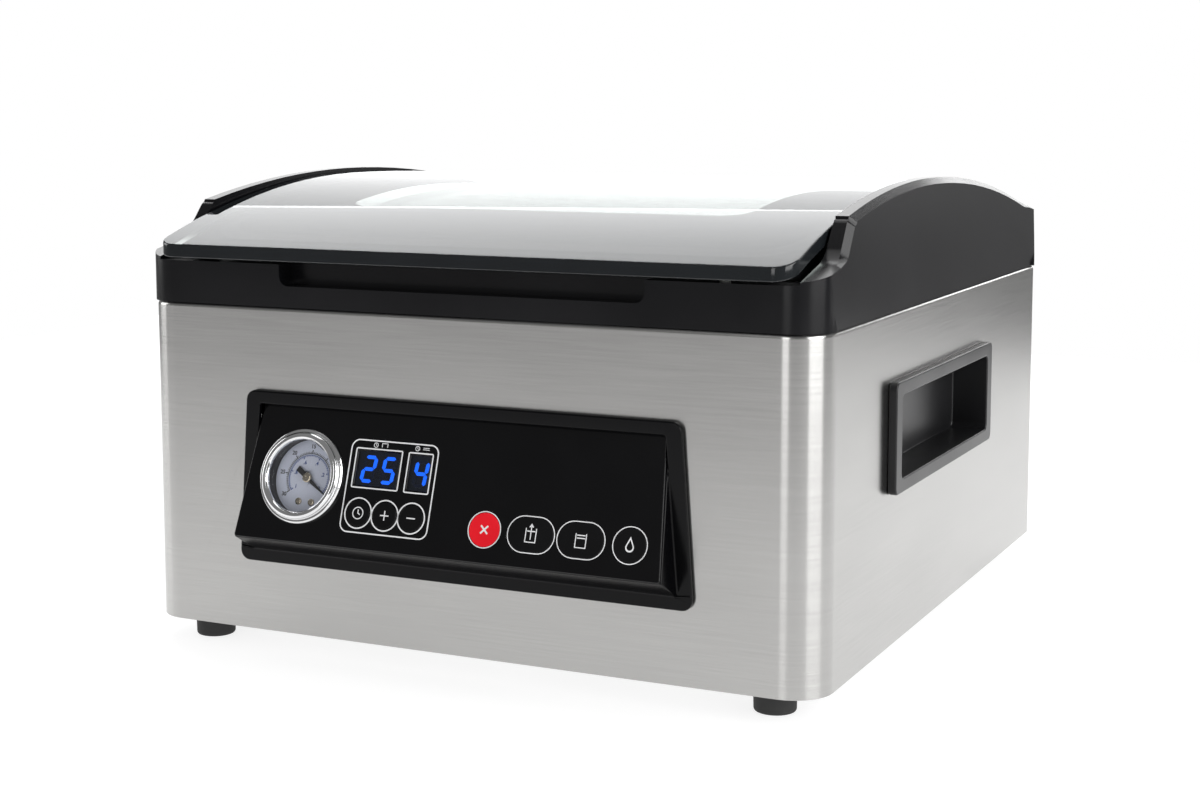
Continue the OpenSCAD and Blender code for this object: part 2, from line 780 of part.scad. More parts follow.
module panel_housing() {
    back = 9;
    color([0.09, 0.09, 0.1])
    difference() {
        union() {
            panel_prism(flange_z, flange_hw, front_y - flange_t, front_y, flange_r);
            panel_prism([flange_z[0] + flange_w - 1, flange_z[1] - flange_w + 1],
                [103.6, 103.6], front_y - 1, front_y + back, 1.5);
            intersection() {
                panel_wedge(0);
                behind_fascia(fascia_t);
                block([-150, front_y - 40, 0], [150, front_y - eps, 300]);
            }
        }
        // recess in front of the fascia
        difference() {
            panel_prism([flange_z[0] + flange_w - 1, flange_z[1] - flange_w + 1],
                [flange_hw[0] - flange_w, flange_hw[1] - flange_w], front_y - 40, front_y + 4, 1.5);
            behind_fascia(fascia_t);
        }
        // hollow behind
        difference() {
            intersection() {
                panel_wedge(pocket_wall);
                panel_prism([flange_z[0] + 9, flange_z[1] - 9], [101, 101], front_y - 40, front_y + 20, 1.5);
            }
            on_fascia() translate([-200, -40, -fascia_t - 2]) cube([400, 180, 100]);
        }
        block([-101, front_y + 4, flange_z[0] + 12], [101, front_y + back + eps, flange_z[1] - 12]);
        // openings in the front wall
        on_fascia() {
            translate([gauge_at[0], gauge_at[1], -20]) cylinder(r = 21, h = 40);
            translate([-55, 5, -20]) cube([50, 47, 40]);
            translate([12, 4, -20]) cube([88, 25, 40]);
            translate([round_keys[1][0], round_keys[1][1], -20])
                cylinder(r = round_key_r + key_lip + 0.5, h = 40);
        }
    }
}

module fascia_2d() {
    difference() {
        polygon(rounded(taper([0, fascia_len], fascia_hw), 1.2));
        translate(gauge_at) circle(r = gauge_case_r + 0.5);
        for (w = windows) translate([w[0], w[1]]) square([w[2] - 1.6, w[3] - 1.6], center = true);
        for (k = small_keys) translate(k) circle(r = key_r + key_gap);
        for (k = round_keys) translate(k) circle(r = round_key_r + key_gap);
        for (k = oval_keys) translate(k) oval_2d(oval_key_hw + key_gap, round_key_r + key_gap);
    }
}

module oval_2d(hw, r) {
    for (s = [-1, 1]) translate([s * (hw - r), 0]) circle(r = r);
    square([2 * (hw - r), 2 * r], center = true);
}

module panel_fascia() {
    color([0.04, 0.04, 0.05])
    on_fascia() translate([0, 0, -fascia_t]) linear_extrude(fascia_t) fascia_2d();
}

module display_lens() {
    color([0.05, 0.06, 0.1, 0.8])
    on_fascia()
    for (w = windows) {
        translate([w[0], w[1], -fascia_t / 2 - 0.4]) cube([w[2] - 1.8, w[3] - 1.8, 0.8], center = true);
    }
}

// Bars of a lit digit in a cell of the given size, with small gaps between them
module digit(bars, w, h, t) {
    for (b = bars) {
        side = b[0];
        level = b[1];
        if (side == 0)
            translate([0, level * (h - t) / 2]) square([w - 2 * t - 2 * bar_gap, t], center = true);
        else
            translate([side * (w - t) / 2, level * h / 4]) square([t, h / 2 - t], center = true);
    }
}

module display_module() {
    two = [[0, 1], [1, 1], [0, 0], [-1, -1], [0, -1]];
    five = [[0, 1], [-1, 1], [0, 0], [1, -1], [0, -1]];
    four = [[-1, 1], [0, 0], [1, 1], [1, -1]];
    color([0.1, 0.3, 0.95])
    on_fascia() {
        translate([-52, 28, -7.4]) cube(display_block);
        for (d = [[-44.2, two], [-33.4, five], [-15.7, four]])
            translate([d[0], 38.6, -2.1]) linear_extrude(0.4) digit(d[1], 7.6, 13.4, 1.5);
    }
}

module key_board() {
    color([0.1, 0.35, 0.2])
    on_fascia() {
        difference() {
            translate([-55, 4, board_z - board_t]) cube([156, 47, board_t]);
            translate([-2, 32, board_z - 5]) cube([110, 30, 10]);
        }
        for (k = concat(small_keys, round_keys, oval_keys))
            translate([k[0] - switch_w / 2, k[1] - switch_w / 2, board_z - 0.1])
                cube([switch_w, switch_w, switch_h + 0.1]);
    }
}

// Push button with a retaining lip and a stem down to its switch
module key_cap(at) {
    flange = 1;
    on_fascia() translate([at[0], at[1], key_lip_z - flange]) {
        linear_extrude(flange - key_lip_z + key_rise) children(0);
        linear_extrude(flange) children(1);
    }
    on_fascia() translate([at[0], at[1], -key_stem])
        cylinder(r = key_stem_r, h = key_stem + key_lip_z - flange / 2, $fn = 24);
}

module small_button(i) {
    key_cap(small_keys[i]) {
        circle(r = key_r);
        circle(r = key_r + key_lip - 0.2);
    }
}

module round_button(i) {
    key_cap(round_keys[i]) {
        circle(r = round_key_r);
        circle(r = round_key_r + key_lip);
    }
}

module oval_button(i) {
    key_cap(oval_keys[i]) {
        oval_2d(oval_key_hw, round_key_r);
        oval_2d(oval_key_hw + key_lip, round_key_r + key_lip);
    }
}

module set_button() { color([0.05, 0.05, 0.06]) small_button(0); }
module plus_button() { color([0.05, 0.05, 0.06]) small_button(1); }
module minus_button() { color([0.05, 0.05, 0.06]) small_button(2); }
module cancel_button() { color([0.82, 0.02, 0.04]) round_button(0); }
module marinate_button() { color([0.05, 0.05, 0.06]) round_button(1); }
module vacuum_button() { color([0.05, 0.05, 0.06]) oval_button(0); }
module seal_button() { color([0.05, 0.05, 0.06]) oval_button(1); }

// ---------- pressure gauge ----------

module at_gauge() {
    on_fascia() translate([gauge_at[0], gauge_at[1], 0]) children();
}

module gauge_case() {
    wall = 1;
    color([0.15, 0.15, 0.16])
    at_gauge() {
        difference() {
            translate([0, 0, -gauge_depth]) cylinder(r = gauge_case_r, h = gauge_depth);
            translate([0, 0, -gauge_depth + wall]) cylinder(r = gauge_case_r - wall, h = gauge_depth);
            translate([0, 0, -gauge_depth - eps]) cylinder(r = 3, h = 4);
        }
        translate([0, 0, -gauge_depth - 10])
            difference() {
                union() {
                    translate([-6, -6, 4]) cube([12, 12, 6]);
                    cylinder(r = 4, h = 6);
                }
                translate([0, 0, -1]) cylinder(r = 1.5, h = 14);
            }
    }
}

module gauge_ring() {
    color([0.85, 0.85, 0.86])
    at_gauge() rotate_extrude($fn = 96) polygon([
        [dial_r + 2.3, 0], [gauge_r, 0], [gauge_r, 1.2], [gauge_r - 0.7, 2], [gauge_r - 1.9, 2],
        [gauge_r - 2.2, 3.2], [gauge_r - 3.2, 3.9], [dial_r + 0.9, 3.9], [dial_r, 3],
        [dial_r, 1.6], [dial_r + 2.3, 1.6]
    ]);
}

module gauge_glass() {
    color([0.8, 0.85, 0.9, 0.3])
    at_gauge() translate([0, 0, 0.4]) cylinder(r = dial_r + 2, h = 1.2);
}

module gauge_dial() {
    color([0.93, 0.94, 0.96])
    at_gauge() {
        difference() {
            translate([0, 0, -dial_depth - dial_t]) cylinder(r = dial_r + 1.1, h = dial_t);
            translate([0, 0, -dial_depth - 2]) cylinder(r = 1.2, h = 4, $fn = 24);
        }
        // heads of the two screws that hold the dial
        for (s = [-1, 1])
            translate([s * 3.6, -11.7, -dial_depth - 0.1]) cylinder(r = 1.5, h = 0.7, $fn = 24);
    }
}

module gauge_needle() {
    rest = -35;
    low = -dial_depth + 1;
    color([0.05, 0.05, 0.05])
    at_gauge() {
        rotate([0, 0, rest]) translate([0, 0, low]) {
            linear_extrude(0.5) polygon([[0, -0.9], [14, -0.2], [14, 0.2], [0, 0.9]]);
            linear_extrude(0.5) polygon([[-7.5, -1.4], [0, -1.2], [0, 1.2], [-7.5, 1.4]]);
        }
        translate([0, 0, low]) cylinder(r = 2.2, h = 1.2, $fn = 32);
        translate([0, 0, -dial_depth - 4]) cylinder(r = 0.9, h = 5.5, $fn = 24);
    }
}

// ---------- handle pockets ----------

module handle_pocket() {
    face = body_w / 2 + handle_proud;
    z0 = handle_z[0];
    z1 = handle_z[1];
    rim_y = handle_hw - handle_rim[0];
    color([0.1, 0.1, 0.11])
    difference() {
        union() {
            translate([body_w / 2, 0, 0]) rotate([90, 0, 90]) linear_extrude(handle_proud)
                plate_2d(-handle_hw, handle_hw, z0, z1, handle_r, handle_r);
            block([face - handle_depth - handle_wall, -rim_y - handle_wall, z0 + handle_rim[1] - handle_wall],
                [body_w / 2 + 1, rim_y + handle_wall, z1 - handle_rim[1] + handle_wall]);
        }
        translate([face - handle_depth, 0, 0]) rotate([90, 0, 90]) linear_extrude(handle_depth + eps)
            plate_2d(-rim_y, rim_y, z0 + handle_rim[1], z1 - handle_rim[1], 3, 3);
    }
}

module right_handle_pocket() { handle_pocket(); }
module left_handle_pocket() { mirror([1, 0, 0]) handle_pocket(); }

// ---------- pump, motor and electrics ----------

module motor_case() {
    x0 = motor_x[0];
    x1 = motor_x[1];
    color([0.35, 0.35, 0.37])
    difference() {
        rod_x(x0, x1, shaft_y, shaft_z, motor_r);
        rod_x(x0 + 3, x1 - 3, shaft_y, shaft_z, motor_r - 2.5);
        rod_x(x0 - 1, x1 + 1, shaft_y, shaft_z, shaft_r + running_fit);
    }
}

module motor_stator() {
    color([0.55, 0.3, 0.15])
    difference() {
        rod_x(motor_x[0] + 20, motor_x[1] - 20, shaft_y, shaft_z, motor_r - 2.5);
        rod_x(motor_x[0], motor_x[1], shaft_y, shaft_z, 20);
    }
}

module motor_rotor() {
    color([0.6, 0.6, 0.6]) {
        rod_x(fan_x - 4, head_x[1] - 5, shaft_y, shaft_z, shaft_r);
        rod_x(motor_x[0] + 22, motor_x[1] - 22, shaft_y, shaft_z, 19);
        rod_x(head_x[0] + 4.3, head_x[1] - 8.3, shaft_y, shaft_z, head_bore - head_offset - gap);
    }
}

module cooling_fan() {
    blades = 7;
    color([0.15, 0.15, 0.16]) {
        difference() {
            rod_x(fan_x, fan_x + 9, shaft_y, shaft_z, 10);
            rod_x(fan_x - 1, fan_x + 12, shaft_y, shaft_z, shaft_r);
        }
        for (i = [0:blades - 1])
            translate([fan_x + 4.5, shaft_y, shaft_z]) rotate([i * 360 / blades, 0, 0])
                translate([0, 0, 9]) rotate([0, 0, 35]) translate([-0.8, -6, 0]) cube([1.6, 12, fan_r - 9]);
    }
}

module pump_head() {
    x0 = head_x[0];
    x1 = head_x[1];
    color([0.62, 0.63, 0.65])
    difference() {
        union() {
            block([x0, shaft_y - pump_hw, shaft_z - pump_hw], [x1, shaft_y + pump_hw, shaft_z + pump_hw]);
            // cooling fins and the outlet's barb
            for (x = [x0 + 6:9:x0 + 42])
                block([x, shaft_y - fin_hw, shaft_z - 26], [x + 3, shaft_y + fin_hw, shaft_z + 26]);
            rod_y(shaft_y + pump_hw, shaft_y + pump_hw + 14, port_x, outlet_z, barb_r);
        }
        rod_x(x0 + 4, x1 - 8, shaft_y, shaft_z + head_offset, head_bore);
        rod_x(x0 - 1, x1 - 4, shaft_y, shaft_z, shaft_r + running_fit);
        rod_y(shaft_y + 12, shaft_y + pump_hw + 20, port_x, outlet_z, 1.8);
    }
}

module pump_cradle() {
    z0 = foot_h + sheet_t + damper_h;
    color([0.65, 0.65, 0.66])
    difference() {
        union() {
            block([motor_x[0] + 4, shaft_y - fin_hw, z0], [head_x[1], shaft_y + fin_hw, z0 + 2]);
            // two saddles under the motor and a pad under the head
            for (x = [motor_x[0] + 12, motor_x[1] - 16])
                block([x, shaft_y - pump_hw, z0], [x + 4, shaft_y + pump_hw, shaft_z - 14]);
            block([head_x[0], shaft_y - pump_hw, z0 + 1], [head_x[1], shaft_y + pump_hw, shaft_z - pump_hw]);
        }
        rod_x(motor_x[0], motor_x[1] + 1, shaft_y, shaft_z, motor_r);
    }
}

module pump_dampers() {
    color([0.1, 0.1, 0.1])
    for (x = [motor_x[0] + 14, head_x[1] - 12], y = [shaft_y - 26, shaft_y + 26])
        translate([x, y, foot_h + sheet_t]) cylinder(r = 8, h = damper_h, $fn = 32);
}

module transformer_core() {
    limb = core[0] / 6;
    color([0.3, 0.3, 0.31])
    translate(core_at)
    difference() {
        cube(core);
        for (x = [limb, 4 * limb])
            block([x, -eps, limb], [x + limb, core[1] + eps, core[2] - limb]);
    }
}

module transformer_coil() {
    limb = core[0] / 6;
    spread = 10;
    color([0.7, 0.45, 0.2])
    translate(core_at)
    difference() {
        block([limb, -spread, limb], [5 * limb, core[1] + spread, core[2] - limb]);
        block([2 * limb, 0, limb - eps], [4 * limb, core[1], core[2] - limb + eps]);
    }
}

module solenoid_valves() {
    z0 = foot_h + sheet_t;
    color([0.55, 0.5, 0.3])
    for (x = [gauge_at[0], gauge_at[0] + 50])
        difference() {
            union() {
                block([x - 14, valve_y - 16, z0], [x + 14, valve_y + 16, z0 + 22]);
                block([x - 12, valve_y - 13, z0 + 22], [x + 12, valve_y + 13, z0 + 54]);
                rod_y(valve_y + 16, valve_y + 30, x, valve_z, 4.1);
                rod_y(valve_y - 30, valve_y - 16, x, valve_z, 4.1);
            }
            rod_y(valve_y - 40, valve_y + 40, x, valve_z, 1.8);
        }
}

module control_board() {
    low = [45, -110];
    high = [165, -10];
    edge = 5;
    z0 = foot_h + sheet_t;
    post_h = 10;
    top = z0 + post_h + board_t;
    sunk = 0.1;
    // corner, then width, depth and height, of the relay, the heat sink and the plug
    blocks = [[55, -95, 30, 40, 14], [100, -90, 40, 20, 18], [60, -45, 15, 25, 22]];
    color([0.1, 0.35, 0.2]) {
        block([low[0], low[1], z0 + post_h], [high[0], high[1], top]);
        for (x = [low[0] + edge, high[0] - edge], y = [low[1] + edge, high[1] - edge])
            translate([x, y, z0]) cylinder(r = 3, h = post_h + sunk, $fn = 24);
        for (b = blocks) translate([b[0], b[1], top - sunk]) cube([b[2], b[3], b[4] + sunk]);
        // capacitors
        for (x = [90, 105, 120]) translate([x, -35, top - sunk]) cylinder(r = 5, h = 20, $fn = 32);
    }
}

// From the pump's outlet up to the chamber's suction port, in one vertical plane
module vacuum_hose() {
    z0 = outlet_z;
    z1 = port_z;
    y0 = shaft_y + pump_hw + 4;
    y1 = hose_y - hose_bend;
    y2 = tub_hd + 14;
    color([0.2, 0.2, 0.2])
    translate([port_x, 0, 0]) {
        tube([y0, z0], [y1, z0], hose_r, port_hose_bore);
        bend([y1, z0 + hose_bend], hose_bend, -90, 90, hose_r, port_hose_bore);
        tube([hose_y, z0 + hose_bend], [hose_y, z1 - hose_bend], hose_r, port_hose_bore);
        bend([y1, z1 - hose_bend], hose_bend, 0, 90, hose_r, port_hose_bore);
        tube([y2, z1], [y1, z1], hose_r, port_hose_bore);
    }
}

// From the gauge's stem down to a solenoid valve, in one vertical plane
module gauge_hose() {
    stem = gauge_depth + 6.2;
    y0 = front_y - fascia_proud + gauge_at[1] * sin(tilt) + stem * cos(tilt);
    z0 = fascia_z + gauge_at[1] * cos(tilt) - stem * sin(tilt);
    run = 8;
    y1 = y0 + run * cos(tilt);
    z1 = z0 - run * sin(tilt);
    c = [y1 - hose_bend * sin(tilt), z1 - hose_bend * cos(tilt)];
    y2 = c[0] + hose_bend;
    z2 = valve_z + hose_bend;
    color([0.2, 0.2, 0.2])
    translate([gauge_at[0], 0, 0]) {
        tube([y0, z0], [y1, z1], hose_r, gauge_hose_bore);
        bend(c, hose_bend, 0, 90 - tilt, hose_r, gauge_hose_bore);
        tube([y2, z2], [y2, c[1]], hose_r, gauge_hose_bore);
        bend([y2 + hose_bend, z2], hose_bend, 180, 90, hose_r, gauge_hose_bore);
        tube([y2 + hose_bend, valve_z], [valve_y - 22, valve_z], hose_r, gauge_hose_bore);
    }
}

// Mains inlet with three pins; no cord is plugged in
module power_inlet() {
    flange = [25, 12.5];
    socket = [12, 8];
    pin = [1, 2];
    color([0.08, 0.08, 0.08]) {
        difference() {
            union() {
                rear_block(inlet_at, inlet_hole - hole_play, back_y - 24, back_y);
                rear_block(inlet_at, flange, back_y, back_y + inlet_proud);
            }
            rear_block(inlet_at, socket, back_y - 16, back_y + 5);
        }
        for (p = [[-7, 1.5], [7, 1.5], [0, -3]]) rear_block(inlet_at + p, pin, back_y - 18, back_y - 3);
    }
}

module switch_housing() {
    flange = [14, 10];
    play = 0.4;
    color([0.08, 0.08, 0.08])
    difference() {
        union() {
            rear_block(switch_at, switch_hole - hole_play, back_y - 22, back_y);
            rear_block(switch_at, flange, back_y - sheet_t, back_y + 1);
        }
        rear_block(switch_at, [rocker_hw + play, rocker_hh + play], back_y - 16, back_y + 2);
    }
}

// The rocker turns about a vertical axis, half of rocker_turn to either side of the middle
module power_rocker() {
    color([0.1, 0.1, 0.1])
    translate([switch_at[0], rocker_y, switch_at[1]]) rotate([0, 0, -rocker_turn / 2])
        linear_extrude(2 * rocker_hh, center = true) polygon([
            [-7, -7], [7, -7], [rocker_hw, 1.4], [0, 0.5], [-rocker_hw, 1.4]
        ]);
}

module lid_switch() {
    x = lid_plunger_at[0];
    y = lid_plunger_at[1];
    color([0.12, 0.12, 0.12])
    difference() {
        block([x - 10, y - 5, shell_z - 15], [x + 10, y + 6, shell_z]);
        translate([x, y, lid_plunger_z[0] - 2.5]) cylinder(r = lid_plunger_r + gap, h = 10);
    }
}

module lid_plunger() {
    color([0.85, 0.85, 0.85])
    translate([lid_plunger_at[0], lid_plunger_at[1], lid_plunger_z[0]])
        cylinder(r = lid_plunger_r, h = lid_plunger_z[1] - lid_plunger_z[0], $fn = 32);
}

// ---------- nodes ----------

steel_shell();
back_panel();
base_plate();
rubber_feet();
case_screws();
top_frame();
chamber_tub();
vacuum_port();
bar_lift_sleeves();
hinge_brackets();
hinge_pins();
panel_housing();
panel_fascia();
display_lens();
display_module();
key_board();
gauge_case();
gauge_ring();
gauge_glass();
gauge_dial();
right_handle_pocket();
left_handle_pocket();
motor_case();
motor_stator();
pump_head();
pump_cradle();
pump_dampers();
transformer_core();
transformer_coil();
solenoid_valves();
control_board();
vacuum_hose();
gauge_hose();
power_inlet();
switch_housing();
lid_switch();
lid_glass();
lid_border();
lid_frame();
lid_gasket();
counter_bar();
counter_strip();
hinge_leaves();
seal_bar_holder();
heating_wire();
ptfe_tape();
bar_plungers();
set_button();
plus_button();
minus_button();
cancel_button();
vacuum_button();
seal_button();
marinate_button();
gauge_needle();
motor_rotor();
cooling_fan();
power_rocker();
lid_plunger();
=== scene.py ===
"""The looks of a tabletop vacuum chamber sealer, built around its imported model.

Metres, in the model's own frame: origin at the middle of the footprint, front towards -Y, +Z up.
"""

import json
import math

import bmesh
import bpy
from mathutils import Matrix, Vector

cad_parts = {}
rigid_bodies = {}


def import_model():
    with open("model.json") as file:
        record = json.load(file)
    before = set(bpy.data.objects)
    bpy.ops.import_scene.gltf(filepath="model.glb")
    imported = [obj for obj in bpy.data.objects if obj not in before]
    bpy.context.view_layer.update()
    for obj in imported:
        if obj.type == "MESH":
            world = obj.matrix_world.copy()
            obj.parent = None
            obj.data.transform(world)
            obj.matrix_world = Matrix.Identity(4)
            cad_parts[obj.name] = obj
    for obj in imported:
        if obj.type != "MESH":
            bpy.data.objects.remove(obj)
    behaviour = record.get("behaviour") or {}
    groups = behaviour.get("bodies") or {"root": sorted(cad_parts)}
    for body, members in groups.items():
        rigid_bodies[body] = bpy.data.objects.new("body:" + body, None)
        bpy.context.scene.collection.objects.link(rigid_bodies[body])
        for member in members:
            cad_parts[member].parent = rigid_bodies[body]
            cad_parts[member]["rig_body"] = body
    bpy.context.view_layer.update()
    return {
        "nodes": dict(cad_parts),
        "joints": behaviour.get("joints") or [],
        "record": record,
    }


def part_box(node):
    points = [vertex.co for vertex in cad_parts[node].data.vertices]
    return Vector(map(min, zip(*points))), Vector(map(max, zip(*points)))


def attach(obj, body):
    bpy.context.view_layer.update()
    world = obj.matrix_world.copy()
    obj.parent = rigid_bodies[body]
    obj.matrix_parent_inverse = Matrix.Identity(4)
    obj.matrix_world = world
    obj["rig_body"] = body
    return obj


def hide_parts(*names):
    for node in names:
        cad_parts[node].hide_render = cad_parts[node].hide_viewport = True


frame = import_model()
MM = 0.001
NODES = frame["nodes"]
JOINTS = {joint["name"]: joint for joint in frame["joints"]}

# ---------- camera ----------

# The place, angles in degrees and lens in millimetres that put the model's straight edges on the photo's
CAMERA_AT = Vector((0.4572, -0.9968, 0.2774))
CAMERA_YAW = 25.82
CAMERA_PITCH = 6.48
CAMERA_ROLL = -0.11
LENS = 60.33
SHIFT = (0.0175, -0.0675)


def add_camera():
    """A camera turned left by the yaw, down by the pitch, then rolled, with a small lens shift."""
    yaw, pitch, roll = (math.radians(a) for a in (CAMERA_YAW, CAMERA_PITCH, CAMERA_ROLL))
    turn = (
        Matrix.Rotation(yaw, 3, "Z")
        @ Matrix.Rotation(math.pi / 2 - pitch, 3, "X")
        @ Matrix.Rotation(roll, 3, "Z")
    )
    data = bpy.data.cameras.new("camera")
    data.sensor_width = 36
    data.lens = LENS
    data.shift_x, data.shift_y = SHIFT
    data.clip_end = 50
    camera = bpy.data.objects.new("camera", data)
    camera.matrix_world = Matrix.Translation(CAMERA_AT) @ turn.to_4x4()
    bpy.context.scene.collection.objects.link(camera)
    bpy.context.scene.camera = camera


add_camera()

# ---------- places taken from the model ----------

SHELL_LOW, SHELL_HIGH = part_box("steel_shell")
FRAME_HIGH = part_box("top_frame")[1]
FRONT = SHELL_LOW.y
BACK = SHELL_HIGH.y
MIDDLE_Y = (FRONT + BACK) / 2

# The fascia's plane, in millimetres from the middle of its lower edge: x across, y up its slope, z out of it
ACROSS = Vector((1, 0, 0))
OUT = -Vector(JOINTS["set_press"]["axis"]).normalized()
UP_SLOPE = OUT.cross(ACROSS)
GAUGE_AT = (-79.4, 32.0)
NEEDLE_DEPTH = 5.0
FASCIA_AT = Vector(JOINTS["needle_turn"]["pos_m"]) - MM * (
    GAUGE_AT[0] * ACROSS + GAUGE_AT[1] * UP_SLOPE - NEEDLE_DEPTH * OUT
)

# The clear window in the lid's print: half width, half depth, middle and corner radius
WINDOW_HW, WINDOW_HD, WINDOW_Y, WINDOW_R = 112 * MM, 109.5 * MM, 8.5 * MM, 14 * MM


def on_fascia(x, y, z=0.0):
    """The place in the model's frame of a point given in millimetres on the fascia's plane."""
    return FASCIA_AT + MM * (x * ACROSS + y * UP_SLOPE + z * OUT)


# ---------- materials ----------


class Shader:
    """A principled material that is put together node by node."""

    def __init__(self, name, color, roughness, metallic=0.0, **settings):
        self.material = bpy.data.materials.new(name)
        self.material.use_nodes = True
        self.tree = self.material.node_tree
        self.bsdf = self.tree.nodes["Principled BSDF"]
        self.bsdf.inputs["Base Color"].default_value = (*color, 1.0)
        self.bsdf.inputs["Roughness"].default_value = roughness
        self.bsdf.inputs["Metallic"].default_value = metallic
        for socket, value in settings.items():
            self.bsdf.inputs[socket.replace("_", " ")].default_value = value

    def node(self, kind, **sockets):
        """A new node whose named sockets are set, or linked where the value is another node's socket."""
        made = self.tree.nodes.new(kind)
        for socket, value in sockets.items():
            self.put(made.inputs[socket.replace("_", " ")], value)
        return made

    def put(self, socket, value):
        if isinstance(value, bpy.types.NodeSocket):
            self.tree.links.new(value, socket)
        else:
            socket.default_value = value

    def noise(self, stretch, detail=3.0, roughness=0.5):
        """Noise whose features measure one over stretch, along X, Y and Z, in metres."""
        place = self.node("ShaderNodeTexCoord").outputs["Object"]
        mapping = self.node("ShaderNodeMapping", Vector=place, Scale=stretch)
        noise = self.node("ShaderNodeTexNoise", Vector=mapping.outputs[0], Scale=1.0, Detail=detail,
                          Roughness=roughness)
        return noise.outputs["Fac"]

    def spread(self, value, low, high, start=0.3, end=0.7):
        """Takes what lies between start and end to the range from low to high."""
        made = self.node("ShaderNodeMapRange", Value=value)
        for socket, number in zip(("From Min", "From Max", "To Min", "To Max"), (start, end, low, high)):
            made.inputs[socket].default_value = number
        return made.outputs[0]

    def blend(self, value, first, second):
        """Colour between first and second as value goes from 0 to 1."""
        made = self.tree.nodes.new("ShaderNodeMix")
        made.data_type = "RGBA"
        self.put(made.inputs["Factor"], value)
        self.put(made.inputs[6], (*first, 1.0))
        self.put(made.inputs[7], (*second, 1.0))
        return made.outputs[2]

    def combine(self, first, second, kind="ADD"):
        """One of Blender's math operations on two values or sockets."""
        made = self.tree.nodes.new("ShaderNodeMath")
        made.operation = kind
        self.put(made.inputs[0], first)
        self.put(made.inputs[1], second)
        return made.outputs[0]

    def color(self, value, first, second):
        """Base colour between first and second."""
        self.tree.links.new(self.blend(value, first, second), self.bsdf.inputs["Base Color"])

    def rough(self, value, low, high):
        """Roughness between low and high."""
        self.tree.links.new(self.spread(value, low, high), self.bsdf.inputs["Roughness"])

    def bump(self, value, depth):
        """Relief of the given depth in metres."""
        made = self.node("ShaderNodeBump", Height=value, Strength=1.0, Distance=depth)
        self.tree.links.new(made.outputs[0], self.bsdf.inputs["Normal"])


def shade(color, factor):
    """A colour made lighter or darker."""
    return tuple(min(1.0, channel * factor) for channel in color)


def brushed(name, color, roughness, grain=(25.0, 25.0, 1500.0), relief=0.0004 * MM, anisotropy=0.7):
    """Steel brushed along the horizontal, with fine lines and a faint slow mottle."""
    made = Shader(name, color, roughness, metallic=1.0, Anisotropic=anisotropy, Anisotropic_Rotation=0.25)
    lines = made.noise(grain, detail=3.0, roughness=0.6)
    mottle = made.noise((9.0, 9.0, 30.0), detail=2.0)
    mixed = made.combine(lines, made.spread(mottle, 0.0, 0.25))
    tone = made.spread(mixed, 0.0, 1.0, start=0.3, end=0.95)
    made.color(tone, shade(color, 0.91), shade(color, 1.07))
    made.rough(lines, roughness * 0.94, roughness * 1.08)
    made.bump(lines, relief)
    tangent = made.tree.nodes.new("ShaderNodeTangent")
    tangent.direction_type = "RADIAL"
    tangent.axis = "Z"
    made.tree.links.new(tangent.outputs[0], made.bsdf.inputs["Tangent"])
    return made.material


def machined(name, color, roughness, metallic=1.0):
    """Turned, cast or plated metal with a fine even grain."""
    made = Shader(name, color, roughness, metallic=metallic)
    fine = made.noise((900.0, 900.0, 900.0))
    slow = made.noise((25.0, 25.0, 25.0), detail=2.0)
    made.color(made.spread(slow, 0.0, 1.0), shade(color, 0.88), shade(color, 1.08))
    made.rough(made.combine(fine, slow, "MULTIPLY"), roughness * 0.75, roughness * 1.5)
    made.bump(fine, 0.01 * MM)
    return made.material


def moulded(name, color, roughness, grain=1700.0, relief=0.02 * MM, **settings):
    """Moulded plastic or rubber with a fine spark-eroded texture."""
    made = Shader(name, color, roughness, **settings)
    fine = made.noise((grain, grain, grain), detail=2.0)
    slow = made.noise((18.0, 18.0, 18.0), detail=3.0)
    made.color(made.spread(slow, 0.0, 1.0), shade(color, 0.86), shade(color, 1.16))
    made.rough(slow, roughness * 0.9, roughness * 1.12)
    made.bump(fine, relief)
    return made.material


def gloss(name, color, roughness, **settings):
    """Smooth lacquered or printed surface, with the faintest unevenness."""
    made = Shader(name, color, roughness, **settings)
    slow = made.noise((30.0, 30.0, 30.0), detail=2.0)
    made.color(made.spread(slow, 0.0, 1.0), shade(color, 0.9), shade(color, 1.1))
    made.rough(slow, roughness * 0.8, roughness * 1.3)
    made.bump(slow, 0.02 * MM)
    return made.material


def inside_window(made):
    """One inside the lid's clear window and nought outside it."""
    spot = made.node("ShaderNodeTexCoord").outputs["Object"]
    place = made.node("ShaderNodeSeparateXYZ", Vector=spot).outputs
    past = []
    for axis, middle, half in ((0, 0.0, WINDOW_HW), (1, WINDOW_Y, WINDOW_HD)):
        away = made.combine(made.combine(place[axis], middle, "SUBTRACT"), 0.0, "ABSOLUTE")
        over = made.combine(made.combine(away, half - WINDOW_R, "SUBTRACT"), 0.0, "MAXIMUM")
        past.append(made.combine(over, over, "MULTIPLY"))
    return made.combine(made.combine(*past), WINDOW_R ** 2, "LESS_THAN")


